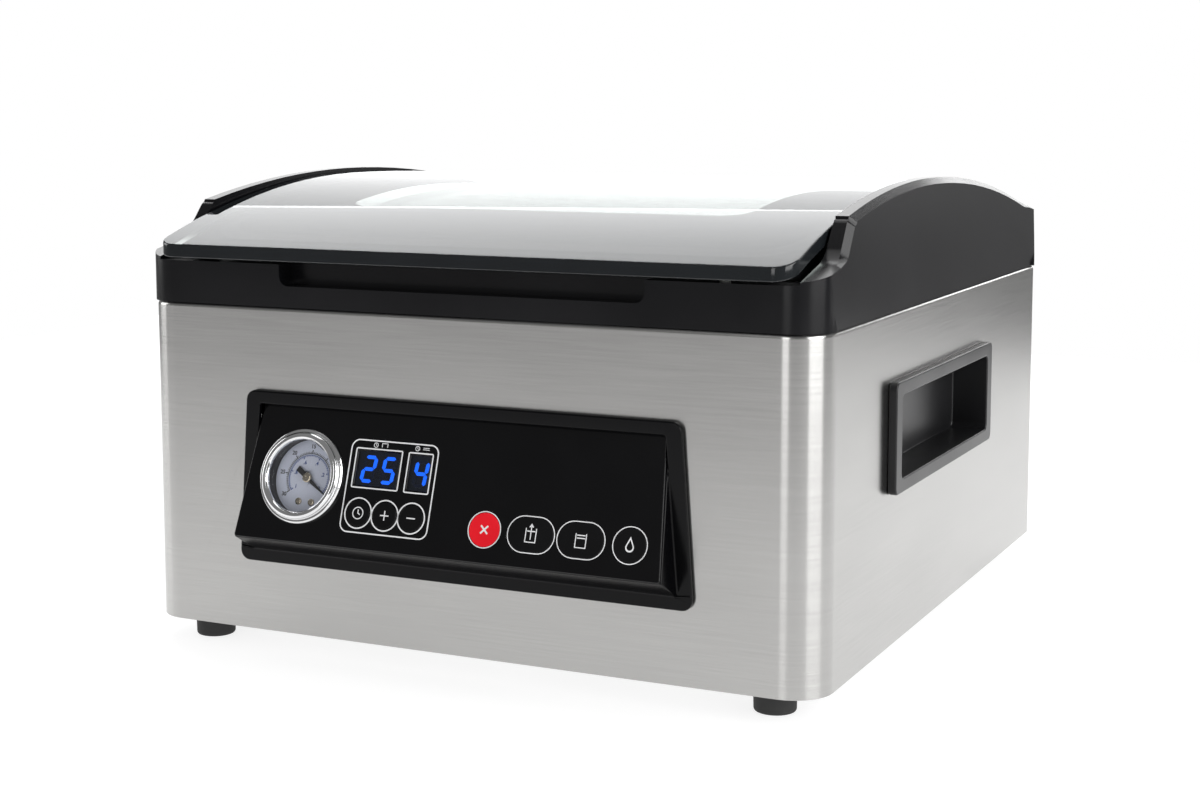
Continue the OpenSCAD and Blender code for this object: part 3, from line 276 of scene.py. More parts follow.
def clear(name, tint, roughness=0.02, printed=False):
    """Glazing: clear straight on, and its near and far faces reflect more at a low angle.

    Where black print backs the far face, outside the lid's window, that face reflects nothing.
    """
    made = Shader(name, (0.96, 0.97, 0.98), roughness, metallic=1.0)
    tree = made.tree
    smear = made.noise((12.0, 12.0, 12.0), detail=2.0)
    made.rough(smear, roughness * 0.6, roughness * 1.6)
    through = made.node("ShaderNodeBsdfTransparent")
    haze = made.blend(made.spread(smear, 0.0, 1.0), shade(tint, 0.98), tint)
    tree.links.new(haze, through.inputs["Color"])
    far = made.node("ShaderNodeNewGeometry").outputs["Backfacing"]
    index = made.spread(far, GLASS_IOR, 1 / GLASS_IOR, 0.0, 1.0)
    shine = made.node("ShaderNodeFresnel", IOR=index).outputs[0]
    if printed:
        dull = made.combine(far, made.combine(1.0, inside_window(made), "SUBTRACT"), "MULTIPLY")
        shine = made.combine(shine, made.combine(1.0, dull, "SUBTRACT"), "MULTIPLY")
    mix = made.node("ShaderNodeMixShader", Fac=shine)
    tree.links.new(through.outputs[0], mix.inputs[1])
    tree.links.new(made.bsdf.outputs[0], mix.inputs[2])
    tree.links.new(mix.outputs[0], tree.nodes["Material Output"].inputs["Surface"])
    return made.material


def lit(name, color, strength):
    """A part of a display that gives light."""
    made = Shader(name, shade(color, 0.2), 0.4)
    slow = made.noise((200.0, 200.0, 200.0), detail=1.0)
    glow = made.blend(made.spread(slow, 0.0, 1.0), shade(color, 0.9), color)
    made.tree.links.new(glow, made.bsdf.inputs["Emission Color"])
    made.bsdf.inputs["Emission Strength"].default_value = strength
    return made.material


STEEL = (0.49, 0.485, 0.475)
GLASS_IOR = 1.52
MATERIALS = {
    "case_steel": brushed("case_steel", STEEL, 0.25, anisotropy=0.85),
    "rear_steel": brushed("rear_steel", shade(STEEL, 0.92), 0.38),
    "plate_steel": machined("plate_steel", (0.50, 0.50, 0.50), 0.42),
    "screw_steel": machined("screw_steel", (0.55, 0.55, 0.56), 0.3),
    "chamber_steel": brushed("chamber_steel", shade(STEEL, 1.15), 0.3, anisotropy=0.3),
    "hinge_steel": machined("hinge_steel", (0.56, 0.56, 0.57), 0.32),
    "black_rubber": moulded("black_rubber", (0.018, 0.018, 0.018), 0.72, grain=900.0),
    "hose_rubber": moulded("hose_rubber", (0.03, 0.03, 0.032), 0.6, grain=900.0),
    "gasket_rubber": moulded("gasket_rubber", (0.42, 0.42, 0.40), 0.55),
    "red_silicone": moulded("red_silicone", (0.50, 0.10, 0.05), 0.5),
    "frame_black": moulded("frame_black", (0.004, 0.004, 0.005), 0.22, relief=0.003 * MM, IOR=1.38),
    "panel_black": moulded("panel_black", (0.0015, 0.0015, 0.002), 0.2, relief=0.002 * MM, IOR=1.25),
    "handle_black": moulded("handle_black", (0.01, 0.01, 0.011), 0.3, relief=0.004 * MM, IOR=1.42),
    "inlet_black": moulded("inlet_black", (0.016, 0.016, 0.016), 0.5),
    "fan_black": moulded("fan_black", (0.02, 0.02, 0.02), 0.5),
    "plunger_white": moulded("plunger_white", (0.62, 0.62, 0.60), 0.4),
    "fascia_gloss": gloss("fascia_gloss", (0.0015, 0.0015, 0.002), 0.14, IOR=1.4),
    "key_black": gloss("key_black", (0.002, 0.002, 0.0025), 0.18, IOR=1.4),
    "key_red": gloss("key_red", (0.88, 0.006, 0.018), 0.25),
    "display_blue": gloss("display_blue", (0.01, 0.02, 0.05), 0.3),
    "board_green": gloss("board_green", (0.02, 0.09, 0.05), 0.35),
    "border_black": gloss("border_black", (0.006, 0.006, 0.007), 0.6, IOR=1.03),
    "gauge_black": machined("gauge_black", (0.004, 0.004, 0.0045), 0.4, metallic=0.0),
    "dial_white": gloss("dial_white", (0.76, 0.80, 0.90), 0.4),
    "needle_black": gloss("needle_black", (0.012, 0.012, 0.012), 0.35),
    "lid_frame_black": moulded("lid_frame_black", (0.02, 0.02, 0.022), 0.45),
    "motor_paint": gloss("motor_paint", (0.10, 0.11, 0.12), 0.4),
    "gauge_chrome": machined("gauge_chrome", (0.82, 0.82, 0.83), 0.06),
    "machined_alu": brushed("machined_alu", (0.66, 0.66, 0.67), 0.32, grain=(9.0, 2000.0, 2000.0)),
    "pump_alu": machined("pump_alu", (0.52, 0.53, 0.55), 0.5),
    "core_steel": machined("core_steel", (0.22, 0.22, 0.23), 0.45),
    "winding_copper": machined("winding_copper", (0.55, 0.25, 0.10), 0.35),
    "brass_fitting": machined("brass_fitting", (0.65, 0.48, 0.22), 0.28),
    "heating_alloy": machined("heating_alloy", (0.50, 0.42, 0.34), 0.3),
    "tape_brown": moulded("tape_brown", (0.32, 0.20, 0.10), 0.5, grain=1500.0),
    "lid_glass": clear("lid_glass", (0.90, 0.94, 0.92), printed=True),
    "clear_glass": clear("clear_glass", (0.98, 0.98, 0.99)),
    "smoke_lens": clear("smoke_lens", (0.72, 0.80, 0.92), 0.05),
    "print_white": gloss("print_white", (0.85, 0.85, 0.86), 0.5),
    "ink_blue": gloss("ink_blue", (0.02, 0.07, 0.30), 0.4),
    "hub_metal": machined("hub_metal", (0.62, 0.55, 0.42), 0.25),
    "display_dark": gloss("display_dark", (0.002, 0.003, 0.008), 0.3, IOR=1.3),
    "display_unlit": gloss("display_unlit", (0.003, 0.006, 0.02), 0.3, IOR=1.3),
    "display_lit": lit("display_lit", (0.006, 0.17, 1.0), 1.6),
    "glass_edge": gloss("glass_edge", (0.012, 0.014, 0.016), 0.08),
}

SLOTS = {part["node"]: part["material_slot"] for part in frame["record"]["subparts"]}
for node_name, cad_object in NODES.items():
    for material_slot in cad_object.material_slots:
        material_slot.material = MATERIALS[SLOTS[node_name]]

# ---------- light and floor ----------

# The world's strength as light and as the camera sees it
WORLD_LIGHT, WORLD_SEEN = 0.2, 1.0
FLOOR_HALF = 1.1
FLOOR_TONE, FLOOR_SPREAD, FLOOR_GLOW = 0.3, 0.01, 0.8


def softbox(name, at, towards, size, strength):
    """Rectangular lamp that shines from one point towards another and isn't seen itself."""
    data = bpy.data.lights.new(name, "AREA")
    data.shape = "RECTANGLE"
    data.size, data.size_y = size
    data.energy = strength * size[0] * size[1]
    lamp = bpy.data.objects.new(name, data)
    lamp.location = at
    lamp.rotation_euler = (Vector(towards) - Vector(at)).to_track_quat("-Z", "Y").to_euler()
    lamp.visible_camera = False
    bpy.context.scene.collection.objects.link(lamp)


def add_light():
    """Lamps for each face that mirrors them, and a dim even world that looks white to the camera."""
    middle = (0.0, 0.0, 0.12)
    softbox("overhead", (-0.2, 0.5, 2.4), middle, (2.2, 1.8), 4.0)
    softbox("backdrop", (-1.15, 2.5, 0.73), middle, (2.9, 1.42), 5.0)
    softbox("backdrop_high", (-0.95, 2.1, 2.15), middle, (3.8, 1.7), 7.5)
    softbox("right_side", (2.25, -0.62, 0.8), middle, (1.7, 1.6), 13.0)
    softbox("right_high", (2.15, 0.1, 1.74), middle, (1.4, 0.9), 14.0)
    softbox("right_rear", (1.5, 2.0, 0.45), middle, (1.5, 0.7), 1.2)
    softbox("rear_rim", (0.45, 2.4, 0.74), middle, (0.6, 0.3), 14.0)
    softbox("rear_high", (1.1, 1.75, 2.0), middle, (0.9, 0.9), 6.0)
    softbox("left_side", (-2.3, -0.3, 0.8), middle, (1.2, 1.5), 9.0)
    softbox("front_strip", (-0.03, -2.56, 0.8), middle, (0.75, 1.7), 8.5)
    world = bpy.data.worlds.new("studio")
    bpy.context.scene.world = world
    world.use_nodes = True
    tree = world.node_tree
    seen = tree.nodes.new("ShaderNodeLightPath").outputs["Is Camera Ray"]
    strength = tree.nodes.new("ShaderNodeMapRange")
    strength.inputs["To Min"].default_value = WORLD_LIGHT
    strength.inputs["To Max"].default_value = WORLD_SEEN
    tree.links.new(seen, strength.inputs["Value"])
    tree.nodes["Background"].inputs["Color"].default_value = (1.0, 1.0, 1.0, 1.0)
    tree.links.new(strength.outputs[0], tree.nodes["Background"].inputs["Strength"])


def add_floor():
    """A plain pale floor that gives a little light, so that only the contact shadow shows on it."""
    mesh = bpy.data.meshes.new("floor")
    corners = [(x * FLOOR_HALF, y * FLOOR_HALF, 0) for x, y in ((-1, -1), (1, -1), (1, 1), (-1, 1))]
    mesh.from_pydata(corners, [], [(0, 1, 2, 3)])
    floor = bpy.data.objects.new("floor", mesh)
    bpy.context.scene.collection.objects.link(floor)
    pale = Shader("pale_floor", 3 * (FLOOR_TONE,), 0.9)
    slow = pale.noise((3.0, 3.0, 3.0), detail=1.0)
    dark, light = FLOOR_TONE - FLOOR_SPREAD, FLOOR_TONE + FLOOR_SPREAD
    pale.color(pale.spread(slow, 0.0, 1.0), 3 * (dark,), 3 * (light,))
    pale.bsdf.inputs["Emission Color"].default_value = (1.0, 1.0, 1.0, 1.0)
    pale.bsdf.inputs["Emission Strength"].default_value = FLOOR_GLOW
    mesh.materials.append(pale.material)


add_light()
add_floor()
bpy.context.scene.view_settings.view_transform = "Standard"

# ---------- shapes ----------

# Corners this close are one, faces this flat are one, and edges that turn by more than this are rounded
JOIN_GAP = 0.001 * MM
FLAT_ANGLE = math.radians(0.4)
EDGE_ANGLE = math.radians(25.0)


def smooth_piece(mesh, name, body, replaced=(), sharp=30.0):
    """Puts a finished mesh in the scene, on a body. Edges that turn more than sharp degrees stay sharp."""
    mesh.shade_smooth()
    mesh.set_sharp_from_angle(angle=math.radians(sharp))
    made = bpy.data.objects.new(name, mesh)
    bpy.context.scene.collection.objects.link(made)
    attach(made, body)
    if replaced:
        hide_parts(*replaced)
    return made


def piece(name, corners, faces, material, body, replaced=()):
    """A closed mesh from its corners and faces, all turned outwards."""
    mesh = bpy.data.meshes.new(name)
    mesh.from_pydata([tuple(c) for c in corners], [], faces)
    work = bmesh.new()
    work.from_mesh(mesh)
    bmesh.ops.remove_doubles(work, verts=work.verts, dist=0.0001 * MM)
    bmesh.ops.recalc_face_normals(work, faces=work.faces)
    work.to_mesh(mesh)
    work.free()
    mesh.materials.append(MATERIALS[material])
    return smooth_piece(mesh, name, body, replaced)


def add_bevel(made, width, segments, limit, clamp=False):
    """Rounds the edges that the limit method picks. A clamped bevel stays narrow where edges are short."""
    step = made.modifiers.new("bevel", "BEVEL")
    step.width = width
    step.segments = segments
    step.limit_method = limit
    step.angle_limit = EDGE_ANGLE
    step.use_clamp_overlap = clamp
    step.loop_slide = not clamp
    step.miter_outer = "MITER_SHARP" if clamp else "MITER_ARC"


def round_edges(node, width, segments=3):
    """Joins up a CAD node's mesh and rounds its sharp edges, with modifiers alone."""
    made = NODES[node]
    made.modifiers.new("weld", "WELD").merge_threshold = JOIN_GAP
    flat = made.modifiers.new("flat", "DECIMATE")
    flat.decimate_type = "DISSOLVE"
    flat.angle_limit = FLAT_ANGLE
    add_bevel(made, width, segments, "ANGLE")
    made.modifiers.new("even", "WEIGHTED_NORMAL")


def reshape(node, fine, broad, broad_segments, how_broad, shift=None, clamp=False):
    """A copy of a CAD node, which it stands for, with some edges bevelled broadly and the others finely.

    how_broad gives an edge's share of the broad bevel, from 0 to 1, and shift moves corners first.
    """
    work = bmesh.new()
    work.from_mesh(NODES[node].data)
    bmesh.ops.remove_doubles(work, verts=work.verts, dist=JOIN_GAP)
    bmesh.ops.dissolve_limit(work, angle_limit=FLAT_ANGLE, verts=work.verts, edges=work.edges)
    for vertex in work.verts if shift else ():
        vertex.co = shift(vertex.co)
    share = work.edges.layers.float.new("bevel_weight_edge")
    for edge in work.edges:
        if edge.is_manifold and edge.calc_face_angle() > EDGE_ANGLE:
            edge[share] = how_broad(edge)
    mesh = bpy.data.meshes.new(node + ".shaped")
    work.to_mesh(mesh)
    work.free()
    mesh.materials.append(MATERIALS[SLOTS[node]])
    body = NODES[node]["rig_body"]
    made = smooth_piece(mesh, node + ".shaped", body, (node,), sharp=180.0)
    add_bevel(made, broad, broad_segments, "WEIGHT")
    add_bevel(made, fine, 3, "ANGLE", clamp=clamp)
    made.modifiers.new("even", "WEIGHTED_NORMAL")
    return made


def arc(center, radius, start, end, steps):
    """Points on an arc, angles in degrees."""
    angles = (math.radians(start + (end - start) * i / steps) for i in range(steps + 1))
    return [(center[0] + radius * math.cos(a), center[1] + radius * math.sin(a)) for a in angles]


def rounded(center, width, height, radius, steps=8):
    """Outline of a rectangle with round corners, anticlockwise."""
    x, y = width / 2 - radius, height / 2 - radius
    outline = []
    for quarter, (sx, sy) in enumerate(((1, -1), (1, 1), (-1, 1), (-1, -1))):
        corner = (center[0] + sx * x, center[1] + sy * y)
        outline += arc(corner, radius, 90 * quarter - 90, 90 * quarter, steps)
    return outline


def ring(center, radius, steps=64):
    """Outline of a circle, anticlockwise."""
    return arc(center, radius, 0, 360 - 360 / steps, steps - 1)


# How deep figures are cut out and how much their strokes are thickened, in millimetres
FIGURE_DEPTH, FIGURE_WEIGHT = 0.5, 0.07


class Inlay:
    """Thin closed shapes laid on a plane, such as print or ticks, gathered into one mesh."""

    def __init__(self, place, low, high):
        self.place, self.low, self.high = place, low, high
        self.corners, self.faces = [], []

    def put(self, outline, depth):
        """Adds an outline's corners at one depth and gives their numbers."""
        first = len(self.corners)
        self.corners += [self.place(x, y, depth) for x, y in outline]
        return list(range(first, first + len(outline)))

    def fill(self, outline):
        """A solid shape."""
        top, bottom = self.put(outline, self.high), self.put(outline, self.low)
        count = len(outline)
        self.faces += [tuple(top), tuple(reversed(bottom))]
        for i in range(count):
            j = (i + 1) % count
            self.faces.append((top[i], bottom[i], bottom[j], top[j]))

    def band(self, outer, inner):
        """What lies between two outlines that have as many points as each other."""
        edges = ((outer, self.high), (outer, self.low), (inner, self.low), (inner, self.high))
        loops = [self.put(outline, depth) for outline, depth in edges]
        count = len(outer)
        for k, loop in enumerate(loops):
            after = loops[(k + 1) % 4]
            self.faces += [(loop[i], after[i], after[(i + 1) % count], loop[(i + 1) % count])
                           for i in range(count)]

    def stroke(self, points, width):
        """A line of even width through points, with mitred corners."""
        left, right = [], []
        for i, point in enumerate(points):
            here = Vector(point)
            before = Vector(points[max(i - 1, 0)])
            after = Vector(points[min(i + 1, len(points) - 1)])
            into = (here - before).normalized() if i > 0 else (after - here).normalized()
            out_of = (after - here).normalized() if i < len(points) - 1 else into
            side = Vector((-(into.y + out_of.y), into.x + out_of.x)).normalized()
            reach = width / 2 / max(0.3, side.dot(Vector((-into.y, into.x))))
            left.append(tuple(here + side * reach))
            right.append(tuple(here - side * reach))
        self.fill(left + right[::-1])

    def figures(self, words, center, size):
        """Upright figures about a centre, in the built-in typeface."""
        curve = bpy.data.curves.new("figures", "FONT")
        curve.body = words
        curve.size = size
        curve.align_x = "CENTER"
        curve.align_y = "CENTER"
        curve.extrude = FIGURE_DEPTH
        curve.offset = FIGURE_WEIGHT
        curve.resolution_u = 3
        holder = bpy.data.objects.new("figures", curve)
        bpy.context.scene.collection.objects.link(holder)
        bpy.context.view_layer.update()
        mesh = holder.evaluated_get(bpy.context.evaluated_depsgraph_get()).to_mesh()
        first = len(self.corners)
        for v in mesh.vertices:
            depth = self.high if v.co.z > 0 else self.low
            self.corners.append(self.place(center[0] + v.co.x, center[1] + v.co.y, depth))
        self.faces += [tuple(first + i for i in f.vertices) for f in mesh.polygons]
        bpy.data.objects.remove(holder)

    def make(self, name, material, body, slot, replaced=()):
        """Puts the gathered shapes in the scene as one piece."""
        return piece(name, self.corners, self.faces, material, body, replaced)


# ---------- case, frame and lid ----------

SHELL_ROLL = 2.2 * MM
# The cheeks' chamfer: width, how fast it runs out, and how far it keeps from the rear, the front and the band
CHAMFER = 3.0 * MM
CHAMFER_END = 10 * MM
REAR_CORNER, FRONT_CORNER = 8 * MM, 21 * MM
CHEEK_FOOT = 17 * MM
# How far the frame's sides are drawn in at their foot, and how near to the box's side they have to be
SIDE_TUCK, SIDE_REACH = 1.4 * MM, 0.5 * MM
# How near to the steel's top an edge of the steel's rim and a corner of the frame's foot have to be
NEAR_RIM, NEAR_FOOT = 0.05 * MM, 0.1 * MM
FRAME_ROUNDING, SHELL_ROUNDING, GLASS_ROUNDING = 0.6 * MM, 0.25 * MM, 0.9 * MM
# How nearly a face's normal lies along an axis: a cheek's leaning side, and faces square to X and to Z
LEANING, SQUARE_X, SQUARE_Z, GLASS_EDGE = 0.96, 0.01, 0.1, 0.2
# Radius of each node's rounded edges, in millimetres
ROUNDING = {
    1.2: ("lid_gasket",),
    0.8: ("panel_housing", "right_handle_pocket", "left_handle_pocket", "counter_strip"),
    0.6: ("rubber_feet", "lid_frame"),
    0.5: ("chamber_tub", "seal_bar_holder", "lid_plunger"),
    0.45: ("panel_fascia",),
    0.4: ("power_inlet", "switch_housing", "power_rocker", "bar_lift_sleeves", "bar_plungers",
          "hinge_brackets", "hinge_leaves", "hinge_pins"),
    0.3: ("vacuum_port", "counter_bar"),
    0.25: ("gauge_ring", "case_screws"),
    0.2: ("back_panel", "base_plate", "set_button", "plus_button", "minus_button", "cancel_button",
          "vacuum_button", "seal_button", "marinate_button"),
    0.08: ("gauge_needle",),
}


def shell_rim(edge):
    """The steel's outer top edge, between the rim and an upright face that looks outwards."""
    if any(abs(v.co.z - SHELL_HIGH.z) > NEAR_RIM for v in edge.verts):
        return 0.0
    middle = (edge.verts[0].co + edge.verts[1].co) / 2
    out = Vector((middle.x, middle.y - MIDDLE_Y, 0))
    return float(any(abs(face.normal.z) < SQUARE_Z and out.dot(face.normal) > 0 for face in edge.link_faces))


def cheek_edge(edge):
    """An edge between a cheek's outer side and what runs over it. The chamfer runs out towards both ends."""
    side = [f for f in edge.link_faces if f.normal.x * f.calc_center_median().x > LEANING * FRAME_HIGH.x]
    over = [f for f in edge.link_faces if abs(f.normal.x) < SQUARE_X]
    if not (side and over) or min(v.co.z for v in edge.verts) < SHELL_HIGH.z + CHEEK_FOOT:
        return 0.0
    places = [v.co.y for v in edge.verts]
    room = min(BACK - REAR_CORNER - max(places), min(places) - FRONT - FRONT_CORNER)
    return min(1.0, max(0.0, room / CHAMFER_END))


def tuck_sides(at):
    """Draws the foot of the frame's sides in a little, so that the steel's rolled edge shows beside it."""
    if at.z < SHELL_HIGH.z + NEAR_FOOT and abs(at.x) > FRAME_HIGH.x - SIDE_REACH:
        return Vector((math.copysign(abs(at.x) - SIDE_TUCK, at.x), at.y, at.z))
    return at


reshape("steel_shell", SHELL_ROUNDING, SHELL_ROLL, 4, shell_rim)
reshape("top_frame", FRAME_ROUNDING, CHAMFER, 1, cheek_edge, tuck_sides, clamp=True)
lid = reshape("lid_glass", GLASS_ROUNDING, 0.0, 1, lambda edge: 0.0)
# the glass looks dark through its edges
lid.data.materials.append(MATERIALS["glass_edge"])
for face in lid.data.polygons:
    face.material_index = int(abs(face.normal.z) < GLASS_EDGE)

for radius, node_names in ROUNDING.items():
    for node_name in node_names:
        round_edges(node_name, radius * MM)

# ---------- printing on the fascia ----------

# In millimetres on the fascia: the print's height, its lines' width and how far the keys' caps stand out
PRINT = 0.05
LINE_W = 0.65
KEY_TOP = 0.15
# The share of that width that the lines round the larger keys have
THIN = 0.7
# The keys' rings and middles
SMALL_RING, ROUND_RING, OVAL_RING = 6.9, 8.6, 12.2
SMALL_KEYS = {"set_key": (-45.1, 17.1), "plus_key": (-30.5, 17.1), "minus_key": (-16.1, 17.1)}
ROUND_KEYS = {"cancel_key": (23.2, 15.5), "marinate_key": (96.6, 15.3)}
OVAL_KEYS = {"vacuum_key": (47.2, 15.4), "seal_key": (72.4, 15.3)}
# The windows, and the line round them and the small keys: middle, width and height
WINDOWS = ((-38.5, 38.7, 24.6, 18.2), (-15.7, 38.5, 12.4, 18.2))
GROUP = (-30.3, 30.0, 48.1, 44.9)
GROUP_R = 4.5
WINDOW_EASE = 0.3
# The signs' lines and the clocks over the windows: a clock's place, its radii and its hands' width
CLOCK_X, CLOCK_Y, CLOCK_R, CLOCK_INNER_R = -2.4, 50.1, 1.25, 0.95
HAND_W, SIGN_W = 0.25, 0.3
BAG_W, SEAM_W = 0.45, 0.5


def outline_band(sheet, center, width, height, radius, line=LINE_W):
    """A line inside the edge of a rectangle with round corners."""
    sheet.band(rounded(center, width, height, radius),
               rounded(center, width - 2 * line, height - 2 * line, radius - line))


def print_fascia():
    """The lines round the windows and keys, and small signs over the windows."""
    sheet = Inlay(on_fascia, -PRINT, PRINT)
    outline_band(sheet, GROUP[:2], *GROUP[2:], GROUP_R)
    for x, y, w, h in WINDOWS:
        outline_band(sheet, (x, y), w + 2 * LINE_W, h + 2 * LINE_W, LINE_W + WINDOW_EASE)
    for at in SMALL_KEYS.values():
        sheet.band(ring(at, SMALL_RING + LINE_W), ring(at, SMALL_RING))
    for at in ROUND_KEYS.values():
        sheet.band(ring(at, ROUND_RING), ring(at, ROUND_RING - LINE_W * THIN))
    for at in OVAL_KEYS.values():
        outline_band(sheet, at, 2 * OVAL_RING, 2 * ROUND_RING, ROUND_RING - 0.01, LINE_W * THIN)
    # a clock over each window, then a bag for the pump's time and a seam for the seal bar's
    first, second = (window[0] for window in WINDOWS)
    for window_x in (first, second):
        x, y = window_x + CLOCK_X, CLOCK_Y
        sheet.band(ring((x, y), CLOCK_R, 24), ring((x, y), CLOCK_INNER_R, 24))
        sheet.stroke([(x, y + 0.75), (x, y), (x + 0.5, y - 0.3)], HAND_W)
    sheet.stroke([(first + x, y) for x, y in ((1.0, 49.2), (1.0, 51.1), (4.0, 51.1), (4.0, 49.2))], SIGN_W)
    for y in (49.8, 50.6):
        sheet.stroke([(second + 0.6, y), (second + 4.0, y)], SIGN_W)
    sheet.make("fascia_print", "print_white", "housing", "dial_white")


def icon(body, draw):
    """Printing on a key's cap, which rides with the key."""
    at = {**SMALL_KEYS, **ROUND_KEYS, **OVAL_KEYS}[body]
    sheet = Inlay(lambda x, y, z: on_fascia(at[0] + x, at[1] + y, KEY_TOP + z), -PRINT, PRINT)
    draw(sheet)
    sheet.make(body + "_print", "print_white", body, "dial_white")


def set_icon(sheet):
    """A clock face."""
    sheet.band(ring((0, 0), 3.0), ring((0, 0), 2.5))
    sheet.stroke([(0, 1.7), (0, 0), (1.2, -0.7)], 0.5)


def cross(arm, half):
    """Outline of an upright cross, from its arms' length and half their width."""
    return [(-arm, -half), (-half, -half), (-half, -arm), (half, -arm), (half, -half), (arm, -half),
            (arm, half), (half, half), (half, arm), (-half, arm), (-half, half), (-arm, half)]


def plus_icon(sheet):
    sheet.fill(cross(2.3, 0.3))


def minus_icon(sheet):
    sheet.stroke([(-2.3, 0), (2.3, 0)], 0.6)


def cancel_icon(sheet):
    """A cross turned by an eighth."""
    c = math.sqrt(0.5)
    sheet.fill([((x - y) * c, (x + y) * c) for x, y in cross(2.6, 0.42)])


def bag(sheet):
    """A bag's outline, open at the top."""
    sheet.stroke([(-2.6, 3.0), (-2.6, -3.4), (2.6, -3.4), (2.6, 3.0)], BAG_W)


def seam(sheet, y):
    """A seal across a bag's mouth."""
    sheet.stroke([(-2.1, y), (2.1, y)], SEAM_W)


def vacuum_icon(sheet):
    """Air leaving a bag, and a seal across its mouth."""
    bag(sheet)
    seam(sheet, 1.6)
    sheet.stroke([(0, -2.2), (0, 4.0)], BAG_W)
    sheet.fill([(-1.2, 3.4), (1.2, 3.4), (0, 5.2)])


def seal_icon(sheet):
    """A bag with two seals across its mouth."""
    bag(sheet)
    for y in (0.9, 2.2):
        seam(sheet, y)


def marinate_icon(sheet):
    """A drop, as the line between its outline and the same arc drawn smaller."""
    drop = arc((0, -1.0), 2.1, -210, 30, 24)
    small, low = 0.72, 0.4
    inner = [(x * small, (y + low) * small - low) for x, y in drop]
    sheet.band(drop + [(0, 4.0)], inner + [(0, 2.55)])


print_fascia()
for key, draw_icon in (("set_key", set_icon), ("plus_key", plus_icon), ("minus_key", minus_icon),
                       ("cancel_key", cancel_icon), ("vacuum_key", vacuum_icon), ("seal_key", seal_icon),
                       ("marinate_key", marinate_icon)):
    icon(key, draw_icon)

# ---------- displays ----------

# The bars that each figure lights, and the figures' places, width, height, bar width, gap and lean
GLYPHS = {"2": "abged", "4": "fgbc", "5": "afgcd"}
DIGIT_W, DIGIT_H, DIGIT_T, DIGIT_GAP, DIGIT_LEAN = 7.4, 13.2, 1.7, 0.25, 0.1
DIGITS = (((-44.2, 38.6), "2"), ((-33.4, 38.6), "5"), ((-15.7, 38.5), "4"))
DISPLAY_Z = (-2.3, -1.9)
DISPLAY_FLOOR = -7.4
DISPLAY_AT, DISPLAY_W, DISPLAY_H, DISPLAY_R = (-30.0, 38.5), 44.0, 21.0, 0.8


def segment(name):
    """Outline of a digit's bar about its centre: a on top, then clockwise to f, and g in the middle."""
    w, h, t, gap = DIGIT_W, DIGIT_H, DIGIT_T, DIGIT_GAP
    level = {"a": 1, "g": 0, "d": -1}
    if name in level:
        y = level[name] * (h - t) / 2
        x = (w - t) / 2 - gap
        flat = [(-x, y), (-x + t / 2, y - t / 2), (x - t / 2, y - t / 2), (x, y), (x - t / 2, y + t / 2),
                (-x + t / 2, y + t / 2)]
    else:
        side = 1 if name in "bc" else -1
        up = 1 if name in "bf" else -1
        x = side * (w - t) / 2
        low, high = sorted((up * gap, up * ((h - t) / 2 - gap)))
        flat = [(x, low), (x + t / 2, low + t / 2), (x + t / 2, high - t / 2), (x, high),
                (x - t / 2, high - t / 2), (x - t / 2, low + t / 2)]
    return [(x + y * DIGIT_LEAN, y) for x, y in flat]


def add_displays():
    """A dark block under the lens with lit and unlit bars, in place of the display module."""
    back = Inlay(on_fascia, DISPLAY_FLOOR, DISPLAY_Z[0])
    back.fill(rounded(DISPLAY_AT, DISPLAY_W, DISPLAY_H, DISPLAY_R))
    lit_bars, dark_bars = Inlay(on_fascia, *DISPLAY_Z), Inlay(on_fascia, *DISPLAY_Z)
    for (x, y), figure in DIGITS:
        for name in "abcdefg":
            sheet = lit_bars if name in GLYPHS[figure] else dark_bars
            sheet.fill([(x + u, y + v) for u, v in segment(name)])
    back.make("display_back", "display_dark", "housing", "display_blue", ("display_module",))
    lit_bars.make("display_digits", "display_lit", "housing", "display_blue", ("display_module",))
    dark_bars.make("display_unlit", "display_unlit", "housing", "display_blue", ("display_module",))


add_displays()

# ---------- pressure gauge ----------

# In millimetres from the gauge's middle: the dial's face, its print, two screws and the needle's hub
DIAL_Z = -6.0
DIAL_PRINT = (DIAL_Z, DIAL_Z + 0.06)
DIAL_SCREW = (3.6, -11.7)
SCREW_R, SCREW_H, SCREW_SINK = 1.7, 0.9, 0.05
HUB_R, HUB_H, HUB_RISE = 2.4, 1.0, 1.4
# The two scales run over the same angles, the black one outwards from its arc and the blue one inwards
SCALE_START, SCALE_SWEEP = -35.0, 250.0
BLACK_R, BLUE_R, ARC_W = 11.9, 11.2, 0.3
MAJOR_W, MINOR_W, MINOR_SHARE = 0.5, 0.28, 0.55


def on_gauge(x, y, z):
    """The place of a point given in millimetres from the gauge's middle."""
    return on_fascia(GAUGE_AT[0] + x, GAUGE_AT[1] + y, z)


def polar(radius, angle):
    """A point at a radius and an angle in degrees."""
    return radius * math.cos(math.radians(angle)), radius * math.sin(math.radians(angle))


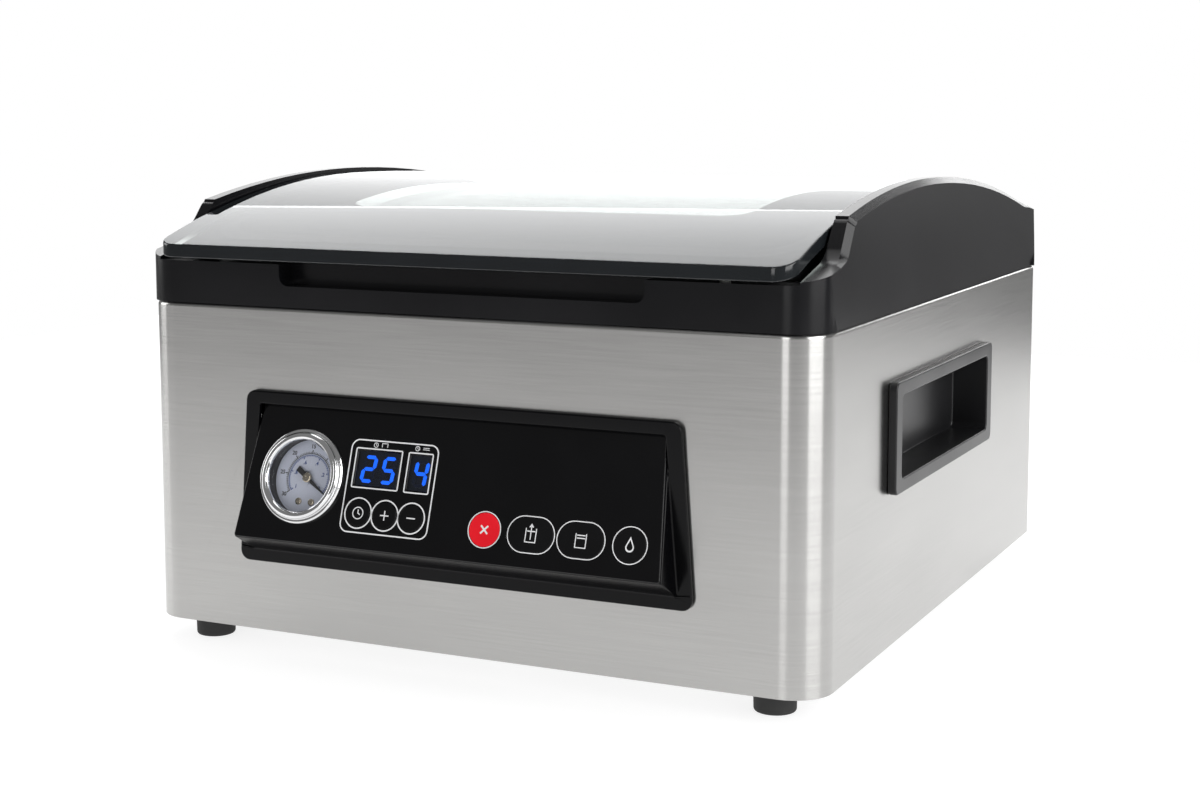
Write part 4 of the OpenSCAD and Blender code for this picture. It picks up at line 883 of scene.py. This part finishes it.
def scale(sheet, radius, length, divisions, major, labels, label_r, size):
    """Ticks from radius outwards or inwards, longer at each major division, with figures."""
    for i in range(divisions + 1):
        angle = SCALE_START + SCALE_SWEEP * i / divisions
        whole = i % major == 0
        reach = radius + length * (1.0 if whole else MINOR_SHARE)
        sheet.stroke([polar(radius, angle), polar(reach, angle)], MAJOR_W if whole else MINOR_W)
    for i, words in enumerate(labels):
        angle = SCALE_START + SCALE_SWEEP * i / (len(labels) - 1)
        sheet.figures(words, polar(label_r, angle), size)


def arc_band(sheet, radius):
    """The line that a scale's ticks stand on."""
    outer = arc((0, 0), radius + ARC_W / 2, SCALE_START, SCALE_START + SCALE_SWEEP, 72)
    inner = arc((0, 0), radius - ARC_W / 2, SCALE_START, SCALE_START + SCALE_SWEEP, 72)
    sheet.fill(outer + inner[::-1])


def add_gauge():
    """Two printed scales, the needle's hub and the two screws that hold the dial."""
    black = Inlay(on_gauge, *DIAL_PRINT)
    scale(black, BLACK_R, 1.8, 60, 10, ("0", "5", "10", "15", "20", "25", "30"), 15.4, 2.7)
    arc_band(black, BLACK_R)
    black.make("gauge_scale_black", "needle_black", "housing", "needle_black")
    blue = Inlay(on_gauge, *DIAL_PRINT)
    scale(blue, BLUE_R, -1.4, 50, 10, ("0", ".2", ".4", ".6", ".8", "1"), 8.0, 2.5)
    arc_band(blue, BLUE_R)
    blue.make("gauge_scale_blue", "ink_blue", "housing", "display_blue")
    dome((0, 0), HUB_R, DIAL_Z + HUB_RISE, HUB_H, "needle_hub", "needle")
    for side, name in ((-1, "left"), (1, "right")):
        at = (side * DIAL_SCREW[0], DIAL_SCREW[1])
        dome(at, SCREW_R, DIAL_Z - SCREW_SINK, SCREW_H, "dial_screw_" + name, "housing")


def dome(center, radius, base, height, name, body):
    """A low turned metal boss on the gauge, with a rounded rim and a dimple."""
    profile = ((1.0, 0.0), (1.0, 0.55), (0.96, 0.75), (0.86, 0.9), (0.7, 1.0), (0.3, 1.0), (0.22, 0.85))
    steps = 40
    corners, faces = [], []
    for r, z in profile:
        for k in range(steps):
            u, v = polar(radius * r, 360 * k / steps)
            corners.append(on_gauge(center[0] + u, center[1] + v, base + height * z))
    last = (len(profile) - 1) * steps
    for a in range(0, last, steps):
        b = a + steps
        faces += [(a + k, a + (k + 1) % steps, b + (k + 1) % steps, b + k) for k in range(steps)]
    faces += [tuple(range(steps))[::-1], tuple(last + k for k in range(steps))]
    piece(name, corners, faces, "hub_metal", body)


add_gauge()
